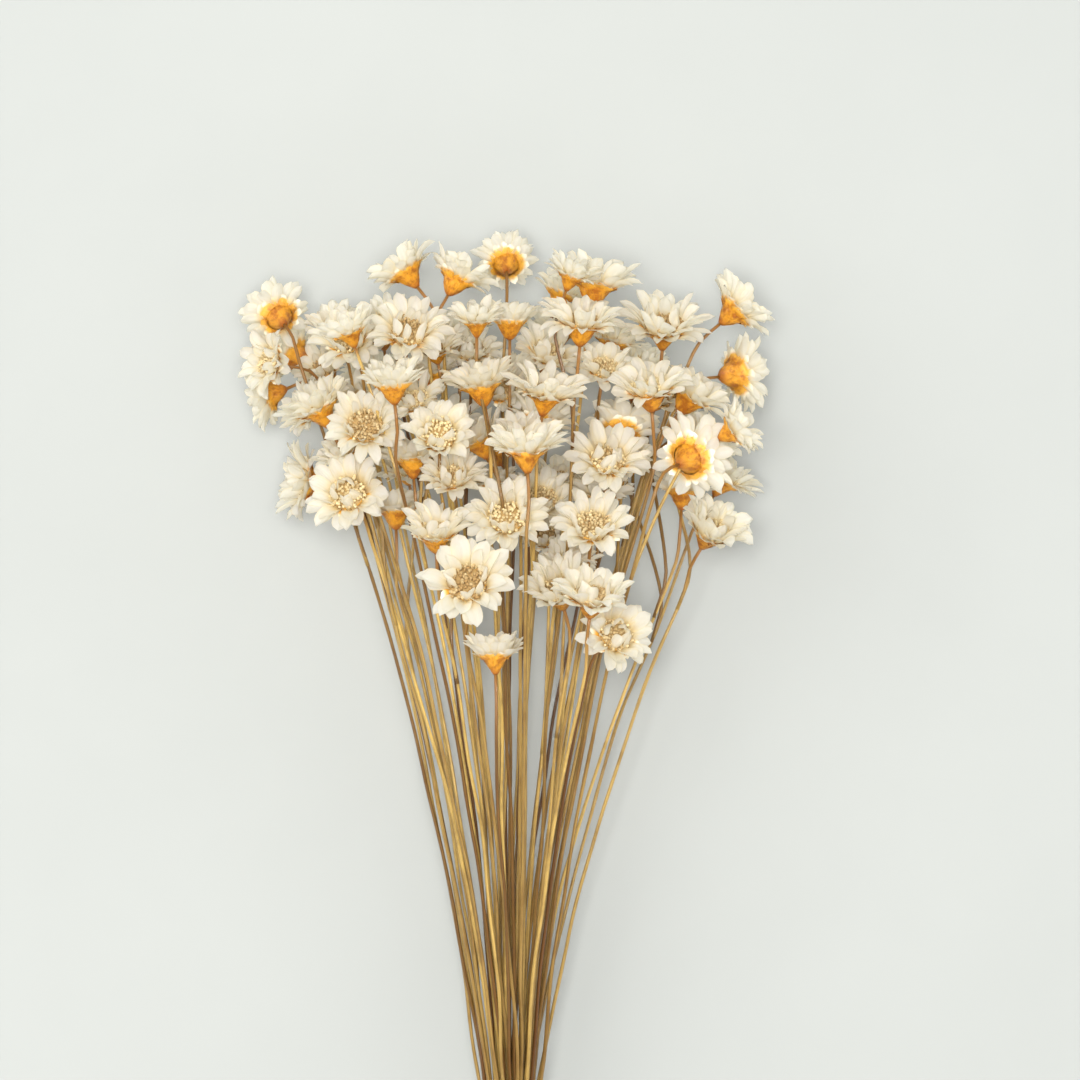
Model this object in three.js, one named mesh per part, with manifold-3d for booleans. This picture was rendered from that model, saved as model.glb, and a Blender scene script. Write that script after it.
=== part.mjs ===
// A bunch of dried star flowers: straw-thin stems with papery blooms, gathered by an elastic band
// and lying on a table. The bunch runs along +Y with its blooms at the far end and its cut ends at
// the near one. Each flower is one solid, because its stem, calyx and bracts grew as one piece.
// Millimetres, +Z up. The origin is on the table, under the middle of the bunch.
import * as THREE from "three";
import { mergeVertices } from "three/addons/utils/BufferGeometryUtils.js";
import Module from "manifold-3d";

const wasm = await Module();
wasm.setup();

// ---- Driving dimensions ----

const STEM_DIAMETER = 1.0;
const STEM_GAP = 0.55; // clear space between neighbouring stems
const STEM_SIDES = 5;
const STEM_WAVER = 1.2; // how far a stem strays from its course at most
const CUT_LENGTH = 84; // stem below the band
const CUT_UNEVEN = 9; // how much the cut ends differ in length
const CUT_FLARE = 1.75; // spread of the cut ends, as a multiple of the bundle's width in the band
const AXIS_RISE = 0.095; // the bunch lies with its blooms higher than its cut ends
const TWIST = 0.5; // radians that the stems wind round the bunch, from the blooms to the band
const FLARE_LEAST = 0.1; // share of a stem's sideways travel that is straight, on the stems that bend most
const FLARE_MOST = 0.65; // and on the straightest stems

const CALYX_HEIGHT = 5.6; // these six are for a flower of size 1
const CALYX_RADIUS = 4.2;
const CALYX_FOOT_RADIUS = 1.0;
const BRACT_LENGTH = 5.2;
const CROWN_HEIGHT = 2.4; // the inner bracts stand this far above the rim of the outer ones
const DISC_DIP = 1.2; // and the florets sit this far below it
const BLOOM_SIDES = 8;
const BLOOM_GAP = 0.4; // clear space kept round each bloom
const NECK_LENGTH = 7; // the stem's last stretch, in line with the bloom

const BAND_TURNS = 4;
const BAND_CORD = 1.4; // thickness of one turn of the band
const BAND_CLEARANCE = 0.4;
const BAND_REACH = 7; // the stems are straight for this far to each side of the band's middle
const BAND_SIDES = 18;

const STATION_STEP = 21; // spacing of the points that a stem bends at

// ---- The flowers ----

// One row a flower: its bloom's middle as x, y and z (x from the bunch's centre line, y from the
// band, z above the table), the way it faces (turn is degrees round from +X, lift is degrees up
// from the table), its size, and how wide its bracts open, in degrees from its axis.
const FLOWERS = [
  // far edge of the bunch, left to right
  [-58, 217, 30, 125, -52, 0.94, 68],
  [-45, 216, 36, 110, 30, 0.78, 60],
  [-32, 218, 41, 100, 35, 0.86, 66],
  [-28, 227, 47, 126, -5, 0.9, 58],
  [-12, 228, 49, 62, -5, 0.9, 56],
  [-1, 232, 30, 92, -56, 0.86, 60],
  [0, 218, 54, 90, 5, 0.86, 42],
  [14, 225, 32, 68, 0, 0.8, 56],
  [20, 226, 52, 80, 5, 1.08, 58],
  [27, 213, 36, 75, 5, 0.88, 60],
  [39, 214, 49, 88, 30, 1.1, 68],
  [59, 220, 37, 42, -5, 0.94, 60],
  [60, 203, 31, 12, -30, 0.98, 62],
  // second row
  [-41, 206, 53, 110, 50, 0.92, 70],
  [-58, 210, 19, 150, -20, 0.86, 60],
  [-62, 205, 41, 170, 35, 0.86, 66],
  [-64, 197, 25, 196, -10, 0.86, 62],
  [-45, 200, 54, 118, 12, 1.02, 58],
  [-27, 211, 60, 80, 45, 1.0, 70],
  [-13, 216, 31, 90, 10, 0.92, 58],
  [-31, 203, 69, 95, 12, 0.94, 44],
  [-20, 205, 42, 100, 5, 0.9, 56],
  [1, 205, 37, 92, -5, 0.92, 58],
  [13, 207, 48, 70, 35, 0.92, 66],
  [17, 214, 65, 85, 16, 1.04, 74],
  [11, 200, 67, 80, 15, 1.0, 62],
  [35, 199, 63, 95, 22, 1.02, 66],
  [46, 199, 47, 55, 10, 0.98, 62],
  [47, 190, 30, 40, 5, 0.88, 62],
  // third row
  [-34, 189, 65, 98, 60, 0.98, 66],
  [-17, 187, 73, 88, 62, 0.92, 46],
  [-9, 200, 57, 100, 8, 0.98, 60],
  [-24, 184, 45, 95, 0, 0.88, 58],
  [3, 185, 78, 93, 10, 1.04, 56],
  [-7, 188, 53, 118, 5, 0.92, 60],
  [8, 192, 49, 75, -20, 0.92, 58],
  [20, 181, 59, 85, 48, 0.98, 66],
  [34, 185, 38, 75, -38, 0.96, 60],
  [45, 181, 59, 30, -52, 1.04, 68],
  [42, 178, 34, 86, -4, 0.94, 58],
  [54, 177, 27, 55, 5, 0.9, 62],
  [52, 165, 49, 62, 34, 1.0, 40],
  [-54, 175, 35, 172, 10, 1.0, 66],
  [-38, 173, 58, 120, 60, 1.0, 68],
  [-30, 170, 39, 92, 0, 0.9, 58],
  // near edge, where the stems are shortest
  [-16, 165, 67, 92, 24, 0.96, 52],
  [-2, 166, 71, 85, 58, 1.04, 64],
  [9, 171, 55, 80, 45, 0.92, 62],
  [20, 164, 67, 85, 46, 1.0, 64],
  [24, 176, 41, 85, 0, 0.92, 58],
  [9, 150, 71, 105, 38, 1.0, 46],
  [21, 149, 77, 84, 28, 1.0, 58],
  [25, 138, 67, 45, 58, 0.94, 68],
  [-10, 150, 77, 95, 60, 1.08, 72],
  [-5, 135, 61, 92, -2, 0.88, 46],
  // under the bunch, on the table
  [-36, 205, 9, 105, -12, 0.92, 62],
  [34, 203, 9, 70, -12, 0.92, 62],
  [-3, 186, 9, 92, -14, 0.92, 62],
  [12, 216, 15, 85, -10, 0.9, 60],
].map(([x, y, z, turn, lift, size, spread]) => {
  const bearing = THREE.MathUtils.degToRad(turn);
  const climb = THREE.MathUtils.degToRad(lift);
  const facing = new THREE.Vector3(
    Math.cos(bearing) * Math.cos(climb),
    Math.sin(bearing) * Math.cos(climb),
    Math.sin(climb),
  );
  return { home: new THREE.Vector3(x, y, z), facing, size, spread: THREE.MathUtils.degToRad(spread) };
});

// ---- Where everything lies ----

const STEM_RADIUS = STEM_DIAMETER / 2;
const STEM_PITCH = STEM_DIAMETER + STEM_GAP;
const BAND_HALF_WIDTH = (BAND_TURNS * BAND_CORD) / 2;
const SLOTS = packedSlots(FLOWERS.length);
const BUNDLE_RADIUS = SLOTS[SLOTS.length - 1].length();
const BAND_HEIGHT = CUT_FLARE * BUNDLE_RADIUS + AXIS_RISE * (CUT_LENGTH + CUT_UNEVEN);
const ALONG = new THREE.Vector3(0, 1, 0);

/** A number from 0 to 1 that is always the same for the same seed. */
function chance(seed) {
  const wave = Math.sin(seed * 127.1 + 311.7) * 43758.5453;
  return wave - Math.floor(wave);
}

/** Every two of a list's entries. */
function pairsOf(entries) {
  return entries.flatMap((one, i) => entries.slice(i + 1).map((other) => [one, other]));
}

/** The middle of the bunch at a distance along it from the band. */
function axisAt(y) {
  return new THREE.Vector3(0, y, BAND_HEIGHT + AXIS_RISE * y);
}

/** The places of the stems in the band: a hexagonal packing, nearest the middle first. */
function packedSlots(count) {
  const reach = Math.ceil(Math.sqrt(count));
  const slots = [];
  for (let row = -reach; row <= reach; row++) {
    for (let column = -reach; column <= reach; column++) {
      const x = (column + (row % 2 === 0 ? 0 : 0.5)) * STEM_PITCH;
      const z = row * STEM_PITCH * Math.sqrt(0.75);
      slots.push(new THREE.Vector3(x, 0, z));
    }
  }
  return slots.sort((a, b) => a.length() - b.length()).slice(0, count);
}

/** The widest part of a bloom's solid, from its axis. */
function bloomRadius({ size, spread }) {
  return size * (CALYX_RADIUS + BRACT_LENGTH * Math.sin(spread));
}

/** The height of a bloom's rim above the foot of its calyx. */
function rimHeight({ size, spread }) {
  return size * (CALYX_HEIGHT + BRACT_LENGTH * Math.cos(spread));
}

/** The foot of a bloom's calyx, where the stem joins it. */
function footOf(flower) {
  return flower.centre.clone().addScaledVector(flower.facing, -rimHeight(flower));
}

/** Gives each flower a slot in the band on the side that it leans to, so that few stems cross. */
function takeSlots(flowers) {
  flowers.forEach((flower, index) => {
    flower.slot = SLOTS[index];
    flower.lean = flower.home.clone().sub(axisAt(flower.home.y)).divideScalar(flower.home.y);
    flower.lean.applyAxisAngle(ALONG, TWIST);
  });
  const steepest = Math.max(...flowers.map((flower) => flower.lean.length()));
  const misfit = (flower, slot) =>
    slot.distanceToSquared(flower.lean.clone().multiplyScalar(BUNDLE_RADIUS / steepest));
  let swaps;
  do {
    swaps = 0;
    for (const [one, other] of pairsOf(flowers)) {
      const now = misfit(one, one.slot) + misfit(other, other.slot);
      if (misfit(one, other.slot) + misfit(other, one.slot) < now - 1e-6) {
        [one.slot, other.slot] = [other.slot, one.slot];
        swaps += 1;
      }
    }
  } while (swaps > 0);
}

/** A small sideways step, the same each time for the same stem and point. */
function waver(index, point, most) {
  const angle = 2 * Math.PI * chance(index + point / 7);
  const step = new THREE.Vector3(Math.cos(angle), 0, Math.sin(angle));
  return step.multiplyScalar(most * chance(index * 3 + point));
}

/** The points that a stem bends at, from its cut end to the foot of its bloom. */
function layStem(flower, index) {
  flower.centre = flower.home.clone();
  const foot = footOf(flower);
  const neck = foot.clone().addScaledVector(flower.facing, -NECK_LENGTH);
  const easedFacing = axisAt(1).sub(axisAt(0)).normalize().add(flower.facing).normalize();
  const bend = neck.clone().addScaledVector(easedFacing, -NECK_LENGTH);
  const cut = -CUT_LENGTH - CUT_UNEVEN * chance(index);
  const below = [cut, cut / 2].map((y, k) => {
    const gone = y / cut;
    const spread = flower.slot.clone().applyAxisAngle(ALONG, TWIST * gone);
    spread.multiplyScalar(THREE.MathUtils.lerp(1, CUT_FLARE, gone));
    return axisAt(y).add(spread).add(waver(index, k, STEM_WAVER * gone));
  });
  const inBand = [-1, 1].map((end) => axisAt(end * BAND_REACH).add(flower.slot));
  const start = inBand[1];
  const straight = THREE.MathUtils.lerp(FLARE_LEAST, FLARE_MOST, chance(index * 5 + 2));
  const stretches = Math.max(2, Math.round((bend.y - start.y) / STATION_STEP));
  const above = [];
  for (let k = 1; k < stretches; k++) {
    const share = k / stretches;
    const sideways = share * (straight + (1 - straight) * share);
    const course = new THREE.Vector3(
      THREE.MathUtils.lerp(start.x, bend.x, sideways),
      THREE.MathUtils.lerp(start.y, bend.y, share),
      THREE.MathUtils.lerp(start.z, bend.z, (sideways + share) / 2),
    );
    above.push(course.add(waver(index, k + 2, STEM_WAVER * share)));
  }
  flower.points = [...below, ...inBand, ...above, bend, neck, foot];
  flower.banded = [below.length, below.length + 1];
  flower.shift = flower.points.map(() => new THREE.Vector3());
}

/** The nearest points of two segments, as shares along them, and the way from one to the other. */
function nearest(a, b, c, d) {
  const ab = b.clone().sub(a);
  const cd = d.clone().sub(c);
  const ac = a.clone().sub(c);
  const abab = ab.dot(ab);
  const abcd = ab.dot(cd);
  const cdcd = cd.dot(cd);
  const parallel = abab * cdcd - abcd * abcd;
  const clamp = (value) => THREE.MathUtils.clamp(value, 0, 1);
  let s = parallel > 1e-9 ? clamp((abcd * cd.dot(ac) - cdcd * ab.dot(ac)) / parallel) : 0.5;
  const t = clamp((abcd * s + cd.dot(ac)) / cdcd);
  s = clamp((abcd * t - ab.dot(ac)) / abab);
  return { s, t, apart: ac.addScaledVector(ab, s).addScaledVector(cd, -t) };
}

/** Moves a bloom and the neck of its stem. */
function pushBloom(flower, push) {
  flower.centre.add(push);
  for (const point of flower.points.slice(-2)) point.add(push);
}

/** Pushes a stem at a share of the way along one of its stretches. Its neck takes its bloom along. */
function pushStem(flower, stretch, share, push) {
  const neck = flower.points.length - 2;
  if (stretch === neck) {
    pushBloom(flower, push);
    return;
  }
  for (const [point, weight] of [[stretch, 1 - share], [stretch + 1, share]]) {
    if (point === neck) {
      pushBloom(flower, push.clone().multiplyScalar(weight));
    } else if (!flower.banded.includes(point)) {
      flower.shift[point].addScaledVector(push, weight);
      flower.points[point].addScaledVector(push, weight);
    }
  }
}

/** True if two stretches of stem, or a stretch and a bloom, could be within reach along Y. */
function alongside(low, high, otherLow, otherHigh, reach) {
  return Math.min(low, high) < Math.max(otherLow, otherHigh) + reach
    && Math.min(otherLow, otherHigh) < Math.max(low, high) + reach;
}

/** Keeps two stems from running into each other. */
function partStems(one, other) {
  for (let i = 1; i < one.points.length; i++) {
    for (let j = 1; j < other.points.length; j++) {
      const [a, b, c, d] = [one.points[i - 1], one.points[i], other.points[j - 1], other.points[j]];
      if (!alongside(a.y, b.y, c.y, d.y, 0)) continue;
      const { s, t, apart } = nearest(a, b, c, d);
      const gap = apart.length();
      if (gap >= STEM_PITCH || gap < 1e-6) continue;
      const push = apart.multiplyScalar((0.5 * (STEM_PITCH - gap)) / gap);
      pushStem(one, i - 1, s, push);
      pushStem(other, j - 1, t, push.clone().negate());
    }
  }
}

/** Keeps a stem out of a ball round another flower's bracts, or round its calyx. */
function clearBall(bloom, ball, flower) {
  const reach = ball.radius + STEM_RADIUS + BLOOM_GAP;
  for (let i = 1; i < flower.points.length; i++) {
    const [a, b] = [flower.points[i - 1], flower.points[i]];
    if (!alongside(a.y, b.y, ball.center.y, ball.center.y, reach)) continue;
    const line = new THREE.Line3(a, b);
    const share = line.closestPointToPointParameter(ball.center, true);
    const away = line.at(share, new THREE.Vector3()).sub(ball.center);
    const gap = away.length();
    if (gap >= reach || gap < 1e-6) continue;
    const push = away.multiplyScalar((0.5 * (reach - gap)) / gap);
    pushStem(flower, i - 1, share, push);
    pushBloom(bloom, push.clone().negate());
  }
}

/** Keeps a stem out of another flower's bloom. */
function clearBloom(bloom, flower) {
  const calyxMiddle = footOf(bloom).addScaledVector(bloom.facing, 0.5 * CALYX_HEIGHT * bloom.size);
  const calyxReach = Math.hypot(0.5 * CALYX_HEIGHT, CALYX_FOOT_RADIUS) * bloom.size;
  clearBall(bloom, new THREE.Sphere(bloom.centre, bloomRadius(bloom)), flower);
  clearBall(bloom, new THREE.Sphere(calyxMiddle, calyxReach), flower);
}

/** Keeps two blooms apart. */
function partBlooms(one, other) {
  const away = one.centre.clone().sub(other.centre);
  const gap = away.length();
  const reach = bloomRadius(one) + bloomRadius(other) + BLOOM_GAP;
  if (gap >= reach) return;
  const push = away.multiplyScalar((0.5 * (reach - gap)) / gap);
  pushBloom(one, push);
  pushBloom(other, push.clone().negate());
}

/** Spreads each bend along its stem, so that no stem kinks. */
function easeBends(flower) {
  const last = flower.points.length - 2;
  for (let k = flower.banded[1] + 1; k < last; k++) {
    const before = flower.shift[k - 1];
    const after = k + 1 < last ? flower.shift[k + 1] : flower.centre.clone().sub(flower.home);
    const eased = before.clone().add(after).multiplyScalar(0.5).sub(flower.shift[k]).multiplyScalar(0.5);
    flower.shift[k].add(eased);
    flower.points[k].add(eased);
  }
}

/** Keeps a flower on top of the table. */
function restOnTable(flower) {
  const sunk = bloomRadius(flower) - flower.centre.z;
  if (sunk > 0) pushBloom(flower, new THREE.Vector3(0, 0, sunk));
  for (const point of flower.points) point.z = Math.max(point.z, STEM_RADIUS);
}

/** Lets the flowers find room beside each other, each bloom near the place chosen for it. */
function settle(flowers) {
  const pairs = pairsOf(flowers);
  const rounds = 160;
  const easing = 100; // rounds in which the blooms are still drawn to their chosen places
  for (let round = 0; round < rounds; round++) {
    if (round < easing) {
      for (const flower of flowers) {
        pushBloom(flower, flower.home.clone().sub(flower.centre).multiplyScalar(0.1));
        easeBends(flower);
      }
    }
    for (const [one, other] of pairs) {
      partBlooms(one, other);
      partStems(one, other);
      clearBloom(one, other);
      clearBloom(other, one);
    }
    for (const flower of flowers) restOnTable(flower);
  }
}

// ---- The solids ----

/** A closed geometry as a solid: shared corners joined, and faces that closed up left out. */
function solidOf(geometry) {
  const bare = geometry.index ? geometry.toNonIndexed() : geometry.clone();
  for (const name of ["normal", "uv"]) bare.deleteAttribute(name);
  const merged = mergeVertices(bare, 1e-4);
  const corners = merged.index.array;
  const triVerts = [];
  for (let i = 0; i < corners.length; i += 3) {
    const [a, b, c] = corners.slice(i, i + 3);
    if (a !== b && b !== c && c !== a) triVerts.push(a, b, c);
  }
  const vertProperties = merged.getAttribute("position").array;
  const mesh = new wasm.Mesh({ numProp: 3, vertProperties, triVerts: new Uint32Array(triVerts) });
  return new wasm.Manifold(mesh);
}

/** A solid as a three.js geometry. */
function geometryOf(solid) {
  const { vertProperties, triVerts, numProp, numVert } = solid.getMesh();
  const places = new Float32Array(numVert * 3);
  for (let i = 0; i < numVert; i++) {
    places.set(vertProperties.subarray(i * numProp, i * numProp + 3), i * 3);
  }
  const geometry = new THREE.BufferGeometry();
  geometry.setAttribute("position", new THREE.BufferAttribute(places, 3));
  geometry.setIndex(new THREE.BufferAttribute(triVerts, 1));
  return geometry;
}

/** A path of straight stretches, with a ring of a stem's faces at each of its points. */
class StemPath extends THREE.Curve {
  constructor(points) {
    super();
    this.points = points;
  }

  getPoint(share) {
    const place = share * (this.points.length - 1);
    const before = Math.min(Math.floor(place), this.points.length - 2);
    return new THREE.Vector3().lerpVectors(this.points[before], this.points[before + 1], place - before);
  }

  getPointAt(share) {
    return this.getPoint(share);
  }

  getTangentAt(share) {
    return this.getTangent(share);
  }
}

/** A round section with flat sides, for a stem. */
function roundSection(radius, sides) {
  const corners = [];
  for (let k = 0; k < sides; k++) {
    const angle = (2 * Math.PI * k) / sides;
    corners.push(new THREE.Vector2(radius * Math.cos(angle), radius * Math.sin(angle)));
  }
  return new THREE.Shape(corners);
}

/** A flower's stem, which ends a little way inside the foot of its calyx. */
function makeStem(flower) {
  const inside = footOf(flower).addScaledVector(flower.facing, CALYX_FOOT_RADIUS);
  const extrudePath = new StemPath([...flower.points.slice(0, -1), inside]);
  const steps = extrudePath.points.length - 1;
  return new THREE.ExtrudeGeometry(roundSection(STEM_RADIUS, STEM_SIDES), { steps, extrudePath });
}

/** A flower's bloom: a calyx that widens upwards, and the bracts round its dished disc. */
function makeBloom(flower) {
  const { size } = flower;
  const rim = rimHeight(flower);
  const outline = [
    [0, 0],
    [CALYX_FOOT_RADIUS * size, 0],
    [CALYX_RADIUS * size, CALYX_HEIGHT * size],
    [bloomRadius(flower), rim],
    [CALYX_RADIUS * size, rim + CROWN_HEIGHT * size],
    [0, rim - DISC_DIP * size],
  ].map(([radius, height]) => new THREE.Vector2(radius, height));
  const turned = new THREE.Quaternion().setFromUnitVectors(new THREE.Vector3(0, 1, 0), flower.facing);
  const { x, y, z } = footOf(flower);
  return new THREE.LatheGeometry(outline, BLOOM_SIDES).applyQuaternion(turned).translate(x, y, z);
}

/** The elastic band: turns side by side round the stems, as one ring. */
function makeBand() {
  const inner = BUNDLE_RADIUS + STEM_RADIUS + BAND_CLEARANCE;
  const outline = [new THREE.Vector2(inner, -BAND_HALF_WIDTH)];
  for (let turn = 0; turn < BAND_TURNS; turn++) {
    const start = -BAND_HALF_WIDTH + turn * BAND_CORD;
    for (const share of [0.15, 0.5, 0.85]) {
      const proud = share === 0.5 ? BAND_CORD : BAND_CORD * 0.75;
      outline.push(new THREE.Vector2(inner + proud, start + share * BAND_CORD));
    }
  }
  outline.push(new THREE.Vector2(inner, BAND_HALF_WIDTH), outline[0].clone());
  const along = axisAt(1).sub(axisAt(0)).normalize();
  const turned = new THREE.Quaternion().setFromUnitVectors(new THREE.Vector3(0, 1, 0), along);
  const middle = axisAt(0);
  return new THREE.LatheGeometry(outline, BAND_SIDES)
    .applyQuaternion(turned)
    .translate(middle.x, middle.y, middle.z);
}

// ---- The bunch ----

const driedPlant = new THREE.MeshStandardMaterial({ color: 0xefe6d0, roughness: 0.85, metalness: 0 });
const bandRubber = new THREE.MeshStandardMaterial({ color: 0xc9a468, roughness: 0.6, metalness: 0 });

takeSlots(FLOWERS);
FLOWERS.forEach(layStem);
settle(FLOWERS);

const bunch = new THREE.Group();
FLOWERS.forEach((flower, index) => {
  const grown = solidOf(makeStem(flower)).add(solidOf(makeBloom(flower)));
  const mesh = new THREE.Mesh(geometryOf(grown), driedPlant);
  mesh.name = `flower_${String(index + 1).padStart(2, "0")}`;
  bunch.add(mesh);
});

const band = new THREE.Mesh(geometryOf(solidOf(makeBand())), bandRubber);
band.name = "elastic_band";
bunch.add(band);

const box = new THREE.Box3().setFromObject(bunch);
const middle = box.getCenter(new THREE.Vector3());
bunch.position.set(-middle.x, -middle.y, -box.min.z);

export default bunch;
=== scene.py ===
"""A bunch of dried star flowers lying on a pale table, seen from straight above.

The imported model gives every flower's stem, the way its bloom faces and how wide it opens. This
script grows the real thing along them: a thin fibrous stem, a golden calyx of papery scales, rows
of cupped ivory bracts and a disc of small florets, and the elastic band that holds the bunch.
All lengths are in metres.
"""

import logging
import math
import random
from abc import ABC, abstractmethod
from collections.abc import Iterable, Sequence
from dataclasses import dataclass, field, replace
from enum import Enum

import bpy
from mathutils import Color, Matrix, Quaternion, Vector
from mathutils import noise as field_noise

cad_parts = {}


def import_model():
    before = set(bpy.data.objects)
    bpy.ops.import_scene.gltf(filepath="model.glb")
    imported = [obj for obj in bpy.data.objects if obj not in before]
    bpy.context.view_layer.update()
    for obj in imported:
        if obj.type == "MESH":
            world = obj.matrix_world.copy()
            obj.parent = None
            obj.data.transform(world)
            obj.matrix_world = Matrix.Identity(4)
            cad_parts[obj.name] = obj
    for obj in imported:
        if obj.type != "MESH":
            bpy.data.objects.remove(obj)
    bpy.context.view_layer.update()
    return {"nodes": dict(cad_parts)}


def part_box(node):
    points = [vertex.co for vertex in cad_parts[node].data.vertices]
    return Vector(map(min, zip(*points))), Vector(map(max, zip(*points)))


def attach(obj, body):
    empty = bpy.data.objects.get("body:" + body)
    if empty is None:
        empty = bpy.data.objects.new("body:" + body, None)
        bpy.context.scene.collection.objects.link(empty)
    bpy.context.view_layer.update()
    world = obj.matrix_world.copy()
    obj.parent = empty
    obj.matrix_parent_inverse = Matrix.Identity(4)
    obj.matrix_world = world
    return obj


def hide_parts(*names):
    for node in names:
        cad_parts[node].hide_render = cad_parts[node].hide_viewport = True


log = logging.getLogger("dried flowers")

MM = 0.001
BODY = "root"
UP = Vector((0.0, 0.0, 1.0))
TABLE_GAP = 0.1 * MM  # whatever would reach the table is pressed flat, this far above it
NOISE_SEED = 1  # any but 0, which would start the noise's vectors from the clock
NOISE_SPAN = 99.0  # noise is taken up to this far from its origin, so that no two pieces share it
GOLDEN_ANGLE = math.pi * (3 - math.sqrt(5))


# ---- Small helpers ----

Colour = tuple[float, float, float, float]


def srgb(red: int, green: int, blue: int) -> Colour:
    """Turns a display colour into the linear colour that shaders take.

    Args:
        red: Red from 0 to 255.
        green: Green from 0 to 255.
        blue: Blue from 0 to 255.

    Returns:
        Linear red, green, blue and an alpha of 1.
    """
    linear = Color((red / 255, green / 255, blue / 255)).from_srgb_to_scene_linear()
    return (linear.r, linear.g, linear.b, 1.0)


def lerp(start: float, end: float, share: float) -> float:
    """Returns the value at a share of the way from start to end."""
    return start + (end - start) * share


def ring_angles(corners: int) -> list[float]:
    """Returns the angles of a ring's corners, in radians."""
    return [math.tau * k / corners for k in range(corners)]


def new_object(name: str, data: bpy.types.ID) -> bpy.types.Object:
    """Makes an object and puts it in the scene.

    Args:
        name: Its name.
        data: Its mesh, lamp or camera.

    Returns:
        The object.
    """
    made = bpy.data.objects.new(name, data)
    bpy.context.collection.objects.link(made)
    return made


def smooth_curve(points: Sequence[Vector], spacing: float) -> list[Vector]:
    """Rounds a line of straight stretches into a curve through the same points.

    Args:
        points: The points that the curve passes through.
        spacing: About how far apart the curve's own points are.

    Returns:
        The curve's points.
    """
    ends = [points[0] * 2 - points[1], *points, points[-1] * 2 - points[-2]]
    curve = [points[0].copy()]
    for before, start, end, after in zip(ends, ends[1:], ends[2:], ends[3:]):
        span = (end - start).length
        leave = (end - before).normalized() * span
        arrive = (after - start).normalized() * span
        steps = max(1, round(span / spacing))
        for step in range(1, steps + 1):
            t = step / steps
            square, cube = t * t, t * t * t
            curve.append(
                start * (2 * cube - 3 * square + 1)
                + leave * (cube - 2 * square + t)
                + end * (3 * square - 2 * cube)
                + arrive * (cube - square)
            )
    return curve


@dataclass
class Axes:
    """A place with three directions of its own: out and round are across the axis, along is on it."""

    origin: Vector
    along: Vector
    out: Vector
    round: Vector

    @classmethod
    def facing(cls, origin: Vector, along: Vector, roll: float = 0.0) -> "Axes":
        """Makes axes that face a way.

        Args:
            origin: Where they are.
            along: The way that they face.
            roll: How far they are turned about that way, in radians.

        Returns:
            The axes.
        """
        along = along.normalized()
        out = along.orthogonal().normalized()
        out.rotate(Quaternion(along, roll))
        return cls(origin, along, out, along.cross(out))

    def turned(self, angle: float) -> "Axes":
        """Returns the same axes turned about their own axis by an angle in radians."""
        turn = Quaternion(self.along, angle)
        return Axes(self.origin, self.along, turn @ self.out, turn @ self.round)

    def at(self, out: float, round_: float, along: float) -> Vector:
        """Returns the point with these three coordinates."""
        return self.origin + self.out * out + self.round * round_ + self.along * along


class Skin:
    """Collects a piece's surface, with three values at each point for its finish to read.

    "along" runs from 0 to 1 up a petal, scale or stem, "across" from -1 to 1 over its width, and
    "tint" is a number of the petal's or stem's own.
    """

    def __init__(self) -> None:
        """Starts an empty surface."""
        self.points: list[Vector] = []
        self.faces: list[tuple[int, ...]] = []
        self.values: dict[str, list[float]] = {"along": [], "across": [], "tint": []}

    def add_point(self, point: Vector, along: float, across: float, tint: float) -> int:
        """Adds a point.

        Args:
            point: Where it is.
            along: Its "along" value.
            across: Its "across" value.
            tint: Its "tint" value.

        Returns:
            The point's number.
        """
        point.z = max(point.z, TABLE_GAP)
        self.points.append(point)
        for name, value in (("along", along), ("across", across), ("tint", tint)):
            self.values[name].append(value)
        return len(self.points) - 1

    def add_rows(self, rows: Sequence[Sequence[int]], closed: bool) -> None:
        """Joins rows of points with faces.

        Args:
            rows: The rows, all of one length, from first to last.
            closed: True if each row is a ring, so that its last point joins its first.
        """
        for low, high in zip(rows, rows[1:]):
            count = len(low)
            for k in range(count if closed else count - 1):
                after = (k + 1) % count
                self.faces.append((low[k], low[after], high[after], high[k]))

    def add_tube(self, rings: Sequence[Sequence[int]], foot: bool = True) -> None:
        """Joins rings of points into a tube and closes its ends.

        Args:
            rings: The rings, from first to last.
            foot: False if its first end stays open.
        """
        self.add_rows(rings, closed=True)
        if foot:
            self.faces.append(tuple(reversed(rings[0])))
        self.faces.append(tuple(rings[-1]))

    def add_turned(
        self,
        axes: Axes,
        sides: int,
        profile: Iterable[tuple[float, float, float]],
        tint: float,
        foot: bool = True,
    ) -> None:
        """Adds a tube that is turned about an axis.

        Args:
            axes: The axis.
            sides: How many sides the tube has.
            profile: The radius, the height and the "along" value of each ring.
            tint: Its "tint" value.
            foot: False if its first end stays open.
        """
        turns = [axes.turned(angle) for angle in ring_angles(sides)]
        rings = [
            [self.add_point(turned.at(radius, 0, height), along, 0.0, tint) for turned in turns]
            for radius, height, along in profile
        ]
        self.add_tube(rings, foot)

    def make(self, name: str, material: bpy.types.Material) -> bpy.types.Object:
        """Makes the piece, dresses it and lets it ride with the bunch.

        Args:
            name: The piece's name.
            material: Its finish.

        Returns:
            The new object.
        """
        mesh = bpy.data.meshes.new(name)
        mesh.from_pydata([tuple(point) for point in self.points], [], self.faces)
        for value_name, values in self.values.items():
            mesh.attributes.new(value_name, "FLOAT", "POINT").data.foreach_set("value", values)
        mesh.materials.append(material)
        mesh.shade_smooth()
        mesh.validate()
        piece = new_object(name, mesh)
        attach(piece, BODY)
        return piece


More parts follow.
